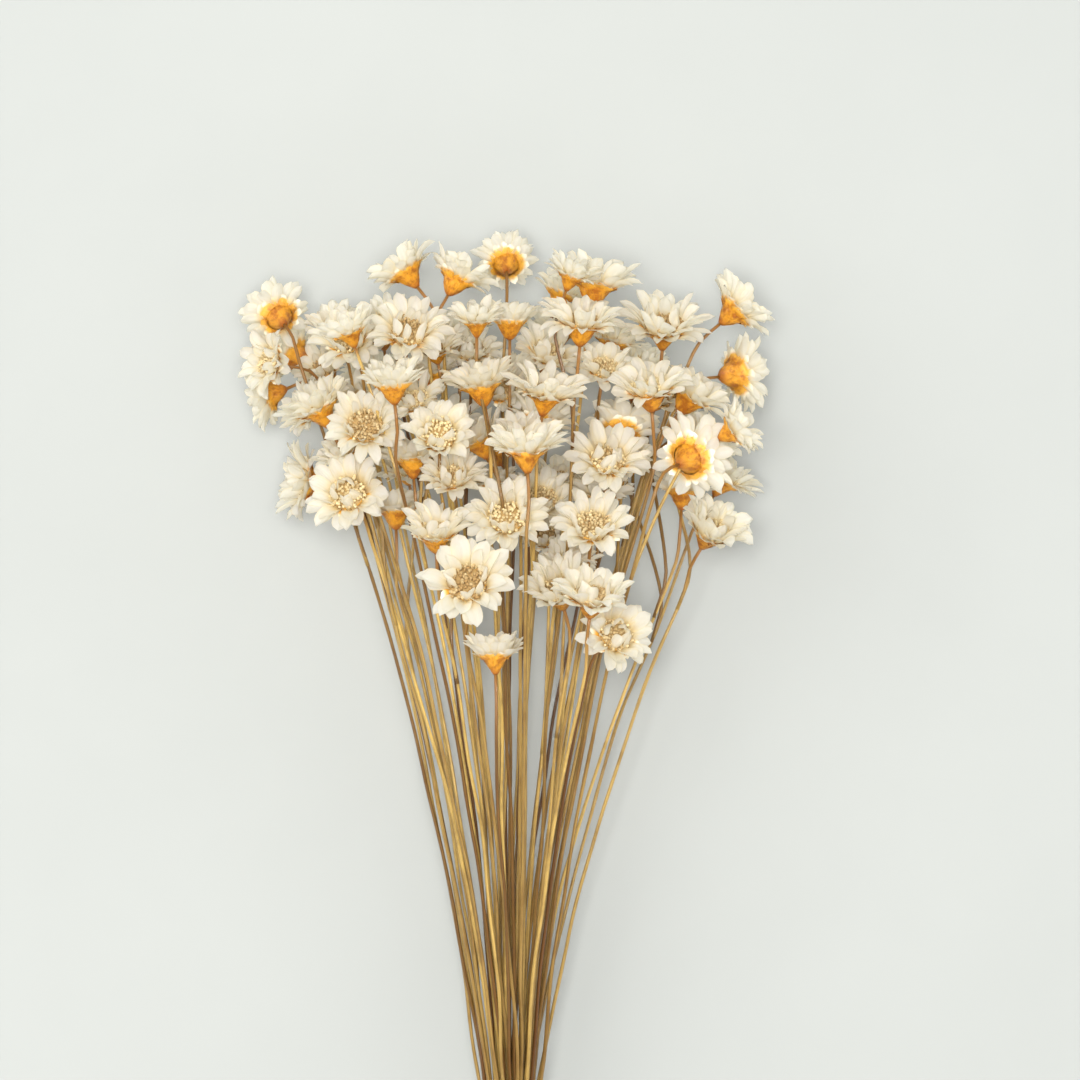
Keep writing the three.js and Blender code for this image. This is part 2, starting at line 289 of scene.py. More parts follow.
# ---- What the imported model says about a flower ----


@dataclass
class Flower:
    """One flower, as it lies: its stem's course, and how its bloom sits and opens.

    Attributes:
        name: Its node's name, or a name of its own.
        course: The stem's middle line, from its cut end to the foot of its calyx.
        size: Its size, where 1 is an ordinary flower.
        spread: How wide its bracts open from its axis, in radians.
        has_node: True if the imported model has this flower.
    """

    name: str
    course: list[Vector]
    size: float = 1.0
    spread: float = math.pi / 2
    has_node: bool = True

    @property
    def foot(self) -> Vector:
        """The foot of the calyx."""
        return self.course[-1]

    @property
    def facing(self) -> Vector:
        """The way that the bloom faces."""
        return (self.course[-1] - self.course[-2]).normalized()

    def axes(self, chance: random.Random) -> Axes:
        """Returns axes at the foot that face as the bloom does, rolled by chance."""
        return Axes.facing(self.foot, self.facing, chance.uniform(0, math.tau))


@dataclass(frozen=True)
class FlowerReader:
    """Reads a flower back from its solid, which is a stem of rings with a turned bloom on top.

    Attributes:
        ring_corners: How many corners each ring of the stem has.
        ring_reach: No corner of a ring is further than this from its middle.
        foot_radius: The calyx's foot on a flower of size 1.
        calyx_radius: The calyx's rim on a flower of size 1.
        calyx_height: The calyx's height on a flower of size 1.
        foot_height: Corners lower on the bloom than this belong to the calyx's foot.
        snap: Corners closer than this are one corner.
    """

    ring_corners: int = 5
    ring_reach: float = 0.68 * MM
    foot_radius: float = 1.0 * MM
    calyx_radius: float = 4.2 * MM
    calyx_height: float = 5.6 * MM
    foot_height: float = 0.2 * MM
    snap: float = 0.01 * MM

    def read(self, name: str, node: bpy.types.Object) -> Flower:
        """Reads one flower.

        Args:
            name: Its node's name.
            node: The node's object.

        Returns:
            The flower.
        """
        points, neighbours = self._corners(node.data)
        rings = self._rings(points, neighbours)
        course = [self._middle(points, ring) for ring in rings]
        used = set().union(*rings)
        flower = Flower(name, course)
        corners = []
        for point in (point for index, point in enumerate(points) if index not in used):
            height = (point - flower.foot).dot(flower.facing)
            corners.append(((point - flower.foot - flower.facing * height).length, height))
        foot_radius = min(radius for radius, height in corners if height < self.foot_height)
        flower.size = foot_radius / self.foot_radius
        star_radius, star_height = max(corners, key=lambda corner: corner[0])
        outwards = star_radius - self.calyx_radius * flower.size
        flower.spread = math.atan2(outwards, star_height - self.calyx_height * flower.size)
        return flower

    def _corners(self, mesh: bpy.types.Mesh) -> tuple[list[Vector], dict[int, set[int]]]:
        """Joins the mesh's doubled corners.

        Args:
            mesh: The node's mesh.

        Returns:
            The corners, and for each the corners that share an edge with it.
        """
        numbers: dict[tuple[int, int, int], int] = {}
        points: list[Vector] = []
        joined = []
        for vertex in mesh.vertices:
            key = tuple(round(value / self.snap) for value in vertex.co)
            if key not in numbers:
                numbers[key] = len(points)
                points.append(vertex.co.copy())
            joined.append(numbers[key])
        neighbours: dict[int, set[int]] = {k: set() for k in range(len(points))}
        for edge in mesh.edges:
            one, other = (joined[k] for k in edge.vertices)
            if one != other:
                neighbours[one].add(other)
                neighbours[other].add(one)
        return points, neighbours

    def _rings(self, points: list[Vector], neighbours: dict[int, set[int]]) -> list[set[int]]:
        """Walks up the stem, ring by ring, from its cut end.

        Args:
            points: The corners.
            neighbours: The corners that each corner shares an edge with.

        Returns:
            The rings' corners, from the cut end to the foot of the calyx.
        """
        order = sorted(range(len(points)), key=lambda k: points[k].y)
        ring = set(order[: self.ring_corners])
        rings, seen = [], set()
        while self._is_ring(points, ring):
            rings.append(ring)
            seen |= ring
            ring = set().union(*(neighbours[k] for k in ring)) - seen
        return rings

    def _is_ring(self, points: list[Vector], ring: set[int]) -> bool:
        """Returns True if the corners are all near one middle, as on a stem and not on a bloom."""
        middle = self._middle(points, ring)
        return max((points[k] - middle).length for k in ring) < self.ring_reach

    @staticmethod
    def _middle(points: list[Vector], ring: Iterable[int]) -> Vector:
        """Returns the middle of a ring's corners."""
        corners = [points[k] for k in ring]
        return sum(corners, Vector()) / len(corners)


# ---- Node groups ----


@dataclass(frozen=True)
class Graph:
    """A node tree that is being built, with short ways to add and join nodes.

    Attributes:
        tree: The tree.
    """

    tree: bpy.types.NodeTree

    COLOUR_MIX_INPUTS = (0, 6, 7)  # a Mix node's share and its two colours, among its other inputs

    def node(self, kind: str, **settings: object) -> bpy.types.Node:
        """Adds a node.

        Args:
            kind: The node's type, without its first words.
            settings: Values of the node itself, such as its operation.

        Returns:
            The node.
        """
        made = self.tree.nodes.new("ShaderNode" + kind)
        for name, value in settings.items():
            setattr(made, name, value)
        return made

    def put(self, socket: bpy.types.NodeSocket, value: object) -> None:
        """Sets an input, or joins it to an output.

        Args:
            socket: The input.
            value: Its value, or another node's output.
        """
        if isinstance(value, bpy.types.NodeSocket):
            self.tree.links.new(value, socket)
        else:
            socket.default_value = value

    def feed(self, node: bpy.types.Node, **values: object) -> bpy.types.Node:
        """Sets or joins a node's inputs.

        Args:
            node: The node.
            values: For each input, by its name with _ for a space, a value or another node's output.

        Returns:
            The same node.
        """
        for name, value in values.items():
            self.put(node.inputs[name.replace("_", " ")], value)
        return node

    def math(self, operation: str, *values: object) -> bpy.types.NodeSocket:
        """Adds a sum.

        Args:
            operation: What it does.
            values: The one or two values that it does it to.

        Returns:
            The result.
        """
        made = self.node("Math", operation=operation)
        for socket, value in zip(made.inputs, values):
            self.put(socket, value)
        return made.outputs[0]

    def times(self, one: object, other: object) -> bpy.types.NodeSocket:
        """Returns one value times another."""
        return self.math("MULTIPLY", one, other)

    def mix(self, share: object, low: object, high: object) -> bpy.types.NodeSocket:
        """Mixes two colours.

        Args:
            share: How much of the second colour.
            low: The first colour.
            high: The second colour.

        Returns:
            The mixed colour.
        """
        made = self.node("Mix", data_type="RGBA")
        for index, value in zip(self.COLOUR_MIX_INPUTS, (share, low, high)):
            self.put(made.inputs[index], value)
        return made.outputs[2]

    def ramp(self, value: object, low: object, high: object) -> bpy.types.NodeSocket:
        """Stretches the values from low to high over 0 to 1, smoothly and no further.

        Args:
            value: The values.
            low: The one that becomes 0.
            high: The one that becomes 1.

        Returns:
            The stretched values.
        """
        made = self.node("MapRange", interpolation_type="SMOOTHSTEP")
        return self.feed(made, Value=value, From_Min=low, From_Max=high).outputs[0]

    def noise(self, place: bpy.types.NodeSocket, **values: object) -> bpy.types.NodeSocket:
        """Adds a noise texture.

        Args:
            place: Where its values are taken.
            values: Its inputs.

        Returns:
            The noise, from about 0 to 1.
        """
        return self.feed(self.node("TexNoise"), Vector=place, **values).outputs["Fac"]

    def carried(self, *names: str) -> list[bpy.types.NodeSocket]:
        """Returns values that a piece's surface carries, by their names."""
        return [self.node("Attribute", attribute_name=name).outputs["Fac"] for name in names]


class Effect(Enum):
    """The effects that several finishes share, by the names of their node groups."""

    FIBRES = "Fibres along a petal or stem"
    BLOTCHES = "Blotches of age"
    BUMP = "Uneven dry surface"


class Effects:
    """Builds each shared effect once and places it in materials."""

    SEED_STEP = 37.0  # how far apart in the noise the fibres of two pieces are taken
    FIBRE_EDGES = (0.3, 0.72)  # the noise between fibres, and on them

    def __init__(self) -> None:
        """Builds the groups."""
        self._groups = {
            Effect.FIBRES: self._fibres(),
            Effect.BLOTCHES: self._blotches(),
            Effect.BUMP: self._bump(),
        }

    def place(self, graph: Graph, effect: Effect, **values: object) -> bpy.types.NodeSocket:
        """Places an effect in a material.

        Args:
            graph: The material's nodes.
            effect: The effect.
            values: Its inputs.

        Returns:
            What the effect puts out.
        """
        made = graph.node("Group")
        made.node_tree = self._groups[effect]
        return graph.feed(made, **values).outputs[0]

    @staticmethod
    def _start(
        effect: Effect, inputs: dict[str, float], output: str, kind: str = "NodeSocketFloat"
    ) -> tuple[Graph, Sequence[bpy.types.NodeSocket], bpy.types.Node]:
        """Starts a group.

        Args:
            effect: The effect that it is for.
            inputs: Each input's name and its usual value.
            output: The output's name.
            kind: The output's socket type.

        Returns:
            The group's nodes, its inputs in order, and the node that its output is fed to.
        """
        tree = bpy.data.node_groups.new(effect.value, "ShaderNodeTree")
        for name, usual in inputs.items():
            socket = tree.interface.new_socket(name, in_out="INPUT", socket_type="NodeSocketFloat")
            socket.default_value = usual
        tree.interface.new_socket(output, in_out="OUTPUT", socket_type=kind)
        graph = Graph(tree)
        given, out = tree.nodes.new("NodeGroupInput"), tree.nodes.new("NodeGroupOutput")
        return graph, given.outputs[: len(inputs)], out

    def _fibres(self) -> bpy.types.NodeTree:
        """Builds fine lines that run along the surface, with a break here and there.

        Returns:
            The group.
        """
        usual = {"Along": 0.5, "Across": 0.0, "Seed": 0.0, "Lines": 9.0, "Length": 1.6}
        graph, (along, across, seed, lines, length), out = self._start(Effect.FIBRES, usual, "Lines")
        place = graph.node("CombineXYZ")
        apart = graph.times(seed, self.SEED_STEP)
        graph.feed(place, X=graph.times(across, lines), Y=graph.times(along, length), Z=apart)
        fibres = graph.noise(place.outputs[0], Scale=1.0, Detail=3.0, Roughness=0.6)
        graph.feed(out, Lines=graph.ramp(fibres, *self.FIBRE_EDGES))
        return graph.tree

    def _blotches(self) -> bpy.types.NodeTree:
        """Builds soft patches of age, the size of which is set in metres.

        Returns:
            The group.
        """
        usual = {"Size": 3 * MM, "Low": 0.4, "High": 0.65}
        graph, (size, low, high), out = self._start(Effect.BLOTCHES, usual, "Patches")
        place = graph.node("TexCoord").outputs["Object"]
        patches = graph.noise(place, Scale=graph.math("DIVIDE", 1.0, size), Detail=4.0, Roughness=0.65)
        graph.feed(out, Patches=graph.ramp(patches, low, high))
        return graph.tree

    def _bump(self) -> bpy.types.NodeTree:
        """Builds the small dents of something dried, and puts out the bent normal.

        Returns:
            The group.
        """
        usual = {"Height": 0.5, "Size": 0.6 * MM, "Depth": 0.05 * MM}
        graph, (height, size, depth), out = self._start(Effect.BUMP, usual, "Normal", "NodeSocketVector")
        place = graph.node("TexCoord").outputs["Object"]
        dents = graph.noise(place, Scale=graph.math("DIVIDE", 1.0, size), Detail=2.0)
        bump = graph.node("Bump")
        graph.feed(bump, Height=graph.math("ADD", height, dents), Distance=depth, Strength=0.8)
        graph.feed(out, Normal=bump.outputs[0])
        return graph.tree


# ---- Finishes ----


Looks = dict[str, object]


@dataclass(frozen=True)
class Finish(ABC):
    """What all finishes share: a surface with a roughness, painted in a way of its own.

    Attributes:
        name: Its material's name.
        roughness: Of its surface.
    """

    name: str
    roughness: float

    def make(self, effects: Effects) -> bpy.types.Material:
        """Makes the material.

        Args:
            effects: The shared effects.

        Returns:
            The material.
        """
        material = bpy.data.materials.new(self.name)
        material.use_nodes = True
        material.node_tree.nodes.clear()
        graph = Graph(material.node_tree)
        shader = graph.node("BsdfPrincipled")
        graph.feed(shader, **{"Roughness": self.roughness, **self.paint(graph, effects)})
        graph.feed(graph.node("OutputMaterial"), Surface=self.surface(graph, shader))
        return material

    @abstractmethod
    def paint(self, graph: Graph, effects: Effects) -> Looks:
        """Paints the surface.

        Args:
            graph: The material's nodes.
            effects: The shared effects.

        Returns:
            The shader's own inputs.
        """

    def surface(self, graph: Graph, shader: bpy.types.Node) -> bpy.types.NodeSocket:
        """Returns what the surface shows, given its Principled shader."""
        return shader.outputs[0]


@dataclass(frozen=True)
class BractFinish(Finish):
    """Papery ivory, warmer towards the disc, partly its own yellow tint and partly painted warm shade,
    with fine veins, that lets some light through.

    Attributes:
        tip: Colour of the outer half.
        foot: Colour next to the disc, its own yellow tint deepened to act as painted warm shade deep in
            the bloom.
        stain: Colour of the veins and aged patches.
        glow: Colour of the light that comes through.
        see_through: Share of the light that comes through.
        foot_tint_and_shade_reach: How far up the bract the foot's colour, its tint and painted shade,
            reaches, as a share of its length.
        veined: How strong the veins are, as a share of the stain's colour, as is the next.
        aged: How strong the patches are on the oldest bracts.
        edge_painted_shade: How much of the foot's colour the edges have, as painted shade where bracts
            overlap.
        vein_relief: How high the veins stand, in dents' heights.
    """

    name: str = "ivory bract"
    roughness: float = 0.62
    tip: Colour = srgb(241, 241, 239)
    foot: Colour = srgb(247, 221, 156)
    stain: Colour = srgb(242, 227, 188)
    glow: Colour = srgb(255, 249, 226)
    see_through: float = 0.54
    foot_tint_and_shade_reach: float = 0.5
    veined: float = 0.17
    aged: float = 0.6
    edge_painted_shade: float = 0.5
    vein_relief: float = 2.0

    def paint(self, graph: Graph, effects: Effects) -> Looks:
        """Paints the warm foot, which is partly painted shade, the veins, the aged patches and painted
        shade at the edges.

        Args:
            graph: The material's nodes.
            effects: The shared effects.

        Returns:
            The shader's own inputs.
        """
        along, across, tint = graph.carried("along", "across", "tint")
        grain = {"Along": along, "Across": across, "Seed": tint}
        veins = effects.place(graph, Effect.FIBRES, **grain, Lines=7.0, Length=1.2)
        patches = effects.place(graph, Effect.BLOTCHES, Size=4 * MM, Low=0.45, High=0.75)
        # The foot's warmer colour is partly the bract's own tint and partly painted warm shade deep in
        # the bloom.
        colour = graph.mix(graph.ramp(along, 0.0, self.foot_tint_and_shade_reach), self.foot, self.tip)
        colour = graph.mix(graph.times(veins, self.veined), colour, self.stain)
        colour = graph.mix(graph.times(patches, graph.times(tint, self.aged)), colour, self.stain)
        # Painted shade: the edges take the foot's warm colour, as if shaded where bracts overlap.
        edge = graph.ramp(graph.math("ABSOLUTE", across), 0.75, 1.05)
        colour = graph.mix(graph.times(edge, self.edge_painted_shade), colour, self.foot)
        height = graph.times(veins, self.vein_relief)
        normal = effects.place(graph, Effect.BUMP, Height=height, Size=1.2 * MM, Depth=0.08 * MM)
        sheen = {"Sheen_Weight": 0.08, "Sheen_Roughness": 0.4}
        return {"Base_Color": colour, "Normal": normal, **sheen}

    def surface(self, graph: Graph, shader: bpy.types.Node) -> bpy.types.NodeSocket:
        """Mixes in the light that comes through.

        Args:
            graph: The material's nodes.
            shader: Its Principled shader.

        Returns:
            What the surface shows.
        """
        through = graph.feed(graph.node("BsdfTranslucent"), Color=self.glow)
        both = graph.node("MixShader")
        for socket, value in zip(both.inputs, (self.see_through, shader.outputs[0], through.outputs[0])):
            graph.put(socket, value)
        return both.outputs[0]


@dataclass(frozen=True)
class CalyxFinish(Finish):
    """Glossy gold paper, rusty at the foot and blotched, fading to cream at the rim.

    Attributes:
        foot: Colour at the stem.
        gold: Colour of the middle.
        rim: Colour at the rim.
        tip: Colour of the tips of the collar's scales.
        rust: Colour of the blotches.
        rusted: How strong the blotches are.
    """

    name: str = "golden calyx"
    roughness: float = 0.42
    foot: Colour = srgb(186, 110, 32)
    gold: Colour = srgb(229, 159, 40)
    rim: Colour = srgb(244, 186, 74)
    tip: Colour = srgb(252, 246, 226)
    rust: Colour = srgb(162, 84, 16)
    rusted: float = 0.85

    def paint(self, graph: Graph, effects: Effects) -> Looks:
        """Paints the bands of colour from foot to rim, and the rusty blotches.

        Args:
            graph: The material's nodes.
            effects: The shared effects.

        Returns:
            The shader's own inputs.
        """
        along, across, tint = graph.carried("along", "across", "tint")
        grain = {"Along": along, "Across": across, "Seed": tint}
        lines = effects.place(graph, Effect.FIBRES, **grain, Lines=5.0, Length=1.5)
        patches = effects.place(graph, Effect.BLOTCHES, Size=2.2 * MM, Low=0.4, High=0.66)
        colour = graph.mix(graph.ramp(along, 0.0, 0.35), self.foot, self.gold)
        colour = graph.mix(graph.ramp(along, 0.75, 1.05), colour, self.rim)
        below_rim = graph.times(patches, graph.ramp(along, 1.25, 0.75))
        colour = graph.mix(graph.times(below_rim, self.rusted), colour, self.rust)
        colour = graph.mix(graph.ramp(along, 1.05, 1.35), colour, self.tip)
        normal = effects.place(graph, Effect.BUMP, Height=lines, Size=0.9 * MM, Depth=0.12 * MM)
        return {"Base_Color": colour, "Normal": normal}


@dataclass(frozen=True)
class DiscFinish(Finish):
    """Dry florets, each of its own straw or brown, with painted shade on their lower parts and on the
    dome, in the gaps between them.

    Attributes:
        straw: Colour of the palest florets' tops.
        brown: Colour of the darkest florets' tops.
        gap: Colour of the painted shade on the florets' lower parts and on the dome, in the gaps between
            them.
        mottled: How strong the brown patches on them are.
    """

    name: str = "straw florets"
    roughness: float = 0.9
    straw: Colour = srgb(226, 208, 162)
    brown: Colour = srgb(166, 134, 86)
    gap: Colour = srgb(188, 156, 102)
    mottled: float = 0.35

    def paint(self, graph: Graph, effects: Effects) -> Looks:
        """Paints each floret in its own tone, and painted shade in the gaps.

        Args:
            graph: The material's nodes.
            effects: The shared effects.

        Returns:
            The shader's own inputs.
        """
        along, tint = graph.carried("along", "tint")
        patches = effects.place(graph, Effect.BLOTCHES, Size=0.8 * MM, Low=0.35, High=0.7)
        colour = graph.mix(tint, self.straw, self.brown)
        colour = graph.mix(graph.times(patches, self.mottled), colour, self.brown)
        # Painted shade: the florets' lower parts and the dome between them take the darker gap colour.
        colour = graph.mix(graph.ramp(along, 0.75, 0.1), colour, self.gap)
        normal = effects.place(graph, Effect.BUMP, Size=0.3 * MM, Depth=0.08 * MM)
        return {"Base_Color": colour, "Normal": normal}


@dataclass(frozen=True)
class StemFinish(Finish):
    """Straw with a gloss and long fibres, browner towards the cut end and on some of the stems.

    Attributes:
        straw: Colour of the palest stems.
        tan: Colour of the darkest stems.
        fibre: Colour of the fibres.
        neck: Colour just under the bloom.
        mottled: How strong the brown patches are.
        browned: How much browner the lower half is.
        fibrous: How strong the fibres are.
    """

    name: str = "straw stem"
    roughness: float = 0.3
    straw: Colour = srgb(244, 206, 116)
    tan: Colour = srgb(96, 56, 6)
    fibre: Colour = srgb(68, 36, 2)
    neck: Colour = srgb(146, 100, 46)
    mottled: float = 0.5
    browned: float = 0.28
    fibrous: float = 0.45

    def paint(self, graph: Graph, effects: Effects) -> Looks:
        """Paints each stem in its own tone, with its patches, brown end, fibres and neck.

        Args:
            graph: The material's nodes.
            effects: The shared effects.

        Returns:
            The shader's own inputs.
        """
        along, across, tint = graph.carried("along", "across", "tint")
        grain = {"Along": along, "Across": across, "Seed": tint}
        lines = effects.place(graph, Effect.FIBRES, **grain, Lines=4.0, Length=9.0)
        patches = effects.place(graph, Effect.BLOTCHES, Size=14 * MM, Low=0.4, High=0.7)
        colour = graph.mix(tint, self.straw, self.tan)
        colour = graph.mix(graph.times(patches, self.mottled), colour, self.tan)
        lower = graph.ramp(along, 0.8, 0.4)
        colour = graph.mix(graph.times(lower, self.browned), colour, self.tan)
        colour = graph.mix(graph.times(lines, self.fibrous), colour, self.fibre)
        colour = graph.mix(graph.ramp(along, 0.9, 1.0), colour, self.neck)
        normal = effects.place(graph, Effect.BUMP, Height=lines, Size=0.8 * MM, Depth=0.1 * MM)
        return {"Base_Color": colour, "Normal": normal}


@dataclass(frozen=True)
class RubberFinish(Finish):
    """Natural rubber, satin under a little dust.

    Attributes:
        clean: Colour of the rubber.
        dusty: Colour of the dusty patches.
        dust: How strong the dustiest patches are.
        dust_roughness: How much rougher they are.
    """

    name: str = "natural rubber"
    roughness: float = 0.5
    clean: Colour = srgb(205, 168, 110)
    dusty: Colour = srgb(226, 204, 164)
    dust: float = 0.6
    dust_roughness: float = 0.25

    def paint(self, graph: Graph, effects: Effects) -> Looks:
        """Paints the dusty patches, which are rougher too.

        Args:
            graph: The material's nodes.
            effects: The shared effects.

        Returns:
            The shader's own inputs.
        """
        patches = effects.place(graph, Effect.BLOTCHES, Size=5 * MM, Low=0.45, High=0.7)
        colour = graph.mix(graph.times(patches, self.dust), self.clean, self.dusty)
        rough = graph.math("ADD", graph.times(patches, self.dust_roughness), self.roughness)
        normal = effects.place(graph, Effect.BUMP, Size=0.5 * MM, Depth=0.03 * MM)
        return {"Base_Color": colour, "Roughness": rough, "Normal": normal}


@dataclass(frozen=True)
class TableFinish(Finish):
    """A pale matte table top, a little uneven in tone.

    Attributes:
        pale: Its colour.
        grey: Colour of the faint uneven patches.
    """

    name: str = "pale table"
    roughness: float = 0.9
    pale: Colour = srgb(178, 181, 178)
    grey: Colour = srgb(175, 178, 175)

    def paint(self, graph: Graph, effects: Effects) -> Looks:
        """Returns the faint patches as the shader's own inputs."""
        patches = effects.place(graph, Effect.BLOTCHES, Size=0.2, Low=0.3, High=0.7)
        return {"Base_Color": graph.mix(patches, self.pale, self.grey)}


# ---- Flowers ----


class Part(ABC):
    """A part of a flower, which is one piece."""

    @abstractmethod
    def cover(self, skin: Skin, flower: Flower, chance: random.Random) -> None:
        """Adds the part's surface.

        Args:
            skin: The surface to add to.
            flower: The flower that the part belongs to.
            chance: Where its irregularity comes from.
        """


@dataclass
class Stem(Part):
    """A thin straw stem, a little thinner towards its bloom.

    Attributes:
        radius: At the cut end.
        top_radius: Under the bloom.
        thinnest: How much thinner it would be under a bloom of size 0.
        flatness: Its depth, as a share of its width.
        sides: How many sides its section has.
        spacing: Distance between its rings.
        waver: How far it strays from its course.
        waver_length: About how long one of its waves is.
        lumps: How much thicker and thinner it gets on its way, as a share.
        lump_shortness: How many times shorter its lumps are than its waves.
    """

    radius: float = 0.56 * MM
    top_radius: float = 0.46 * MM
    thinnest: float = 0.5
    flatness: float = 0.88
    sides: int = 8
    spacing: float = 4 * MM
    waver: float = 0.25 * MM
    waver_length: float = 18 * MM
    lumps: float = 0.12
    lump_shortness: float = 3.0

    def cover(self, skin: Skin, flower: Flower, chance: random.Random) -> None:
        """Adds a tube along the flower's course.

        Args:
            skin: The surface to add to.
            flower: The flower.
            chance: Where its irregularity comes from.
        """
        curve = smooth_curve(flower.course, self.spacing)
        last = len(curve) - 1
        slimness = lerp(self.thinnest, 1.0, min(1.0, flower.size))
        tint = chance.random()
        seed = Vector((chance.uniform(0, NOISE_SPAN), chance.uniform(0, NOISE_SPAN), 0))
        across = (curve[1] - curve[0]).orthogonal().normalized()
        rings = []
        for k, point in enumerate(curve):
            share = k / last
            ahead = (curve[min(k + 1, last)] - curve[max(k - 1, 0)]).normalized()
            across = (across - ahead * across.dot(ahead)).normalized()
            aside = ahead.cross(across) * self.flatness
            seed.z = k * self.spacing / self.waver_length
            middle = point + field_noise.noise_vector(seed) * self.waver * math.sin(math.pi * share)
            thick = lerp(self.radius, self.top_radius, share) * slimness
            thick *= 1 + self.lumps * field_noise.noise(seed * self.lump_shortness)
            ring = []
            for angle in ring_angles(self.sides):
                corner = across * math.cos(angle) + aside * math.sin(angle)
                ring.append(skin.add_point(middle + corner * thick, share, math.cos(angle), tint))
            rings.append(ring)
        skin.add_tube(rings)


@dataclass(frozen=True)
class BractRow:
    """One row of papery bracts round a flower's axis, for a flower of size 1.

    Attributes:
        count: How many bracts.
        length: Of each.
        width: Of each.
        rim_radius: Where they start, from the flower's axis.
        rim_height: Where they start, above the foot of the calyx.
        start: The angle that they start at from the flower's axis, as a share of its spread.
        end: The angle that they end at, as a share of its spread.
        cup: How deep they are, as a share of their half width.
        steps: How many stretches each bract has along its length.
        strips: How many strips each bract has across its width.
        widest: Where a bract is widest, as a share of its length.
        foot_width: Its width where it starts, as a share of the widest.
        first_value: The "along" value where it starts.
        last_value: The "along" value at its tip.
    """

    count: int
    length: float
    width: float
    rim_radius: float
    rim_height: float
    start: float
    end: float
    cup: float
    steps: int = 8
    strips: int = 6
    widest: float = 0.56
    foot_width: float = 0.5
    first_value: float = 0.0
    last_value: float = 1.0

    # How much the bracts of a row differ.
    STRAY = 0.38  # furthest from its even place, as a share of the gap between two
    LENGTHS = (0.78, 1.1)  # least and most, as a share of the row's own, as are the next two
    WIDTHS = (0.75, 1.12)
    CUPS = (0.5, 1.6)
    START_VARIES = 0.12  # usual difference in radians, as is the next
    END_VARIES = 0.28
    TWIST = 0.3  # usual rise of one edge over the other at the tip, as a share of half its width
    BEND = 0.13  # usual bend to one side at the tip, as a share of its length

    # The small shapes that all bracts have.
    OPENING_CURVE = 1.5  # above 1, a bract turns outwards late
    RUFFLE = 0.05  # height of its waves, as a share of half its width
    WAVES_ALONG, WAVES_ACROSS = 9.0, 3.0  # in radians over its length, and over half its width
    CREASE = 0.09  # depth of the crease along its middle, as a share of half its width
    CREASE_NARROWNESS = 3.0  # how many times narrower the crease is
    DRAWN_IN = 0.25  # how much a cupped bract's edges draw in
    TIP_CURVE, TIP_POINT = 2.6, 0.68  # a higher first is a fuller tip, a higher second a sharper one
    TIP_WIDTH = 0.05  # as a share of the widest

    def add_to(self, skin: Skin, axes: Axes, flower: Flower, chance: random.Random) -> None:
        """Adds the row to a surface.

        Args:
            skin: The surface.
            axes: The flower's axes, turned to the row's first bract.
            flower: The flower.
            chance: Where the bracts' irregularity comes from.
        """
        for k in range(self.count):
            turn = (k + chance.uniform(-self.STRAY, self.STRAY)) * math.tau / self.count
            self._bract(skin, axes.turned(turn), flower, chance)

    def _bract(self, skin: Skin, axes: Axes, flower: Flower, chance: random.Random) -> None:
        """Adds one bract.

        Args:
            skin: The surface to add it to.
            axes: The flower's axes, turned to this bract.
            flower: The flower.
            chance: Where its irregularity comes from.
        """
        length = self.length * flower.size * chance.uniform(*self.LENGTHS)
        half = self.width * flower.size * chance.uniform(*self.WIDTHS) / 2
        start = flower.spread * self.start + chance.gauss(0, self.START_VARIES)
        end = flower.spread * self.end + chance.gauss(0, self.END_VARIES)
        cup = self.cup * chance.uniform(*self.CUPS)
        twist = chance.gauss(0, self.TWIST)
        bend = chance.gauss(0, self.BEND)
        ruffle = chance.uniform(0, math.tau)
        tint = chance.random()
        out, height = self.rim_radius * flower.size, self.rim_height * flower.size
        lines = []
        for step in range(self.steps + 1):
            share = step / self.steps
            angle = lerp(start, end, share**self.OPENING_CURVE)
            if step:
                out += math.sin(angle) * length / self.steps
                height += math.cos(angle) * length / self.steps
            wide = half * self._width(share)
            value = lerp(self.first_value, self.last_value, share)
            line = []
            for strip in range(self.strips + 1):
                across = 2 * strip / self.strips - 1
                deep = cup * across * across
                wave = math.sin(ruffle + self.WAVES_ALONG * share + self.WAVES_ACROSS * across)
                crease = max(0.0, 1 - self.CREASE_NARROWNESS * abs(across))
                rise = wide * (deep + twist * across * share - self.CREASE * crease)
                rise += self.RUFFLE * half * wave
                aside = wide * across * (1 - self.DRAWN_IN * deep) + bend * share * length
                place = axes.at(out - rise * math.cos(angle), aside, height + rise * math.sin(angle))
                line.append(skin.add_point(place, value, across, tint))
            lines.append(line)
        skin.add_rows(lines, closed=False)

    def _width(self, share: float) -> float:
        """Gives a bract's width.

        Args:
            share: Where on it, as a share of its length.

        Returns:
            The width, as a share of the widest.
        """
        if share < self.widest:
            return lerp(self.foot_width, 1.0, math.sin(math.pi / 2 * share / self.widest))
        left = (share - self.widest) / (1 - self.widest)
        return max(self.TIP_WIDTH, (1 - left**self.TIP_CURVE) ** self.TIP_POINT)


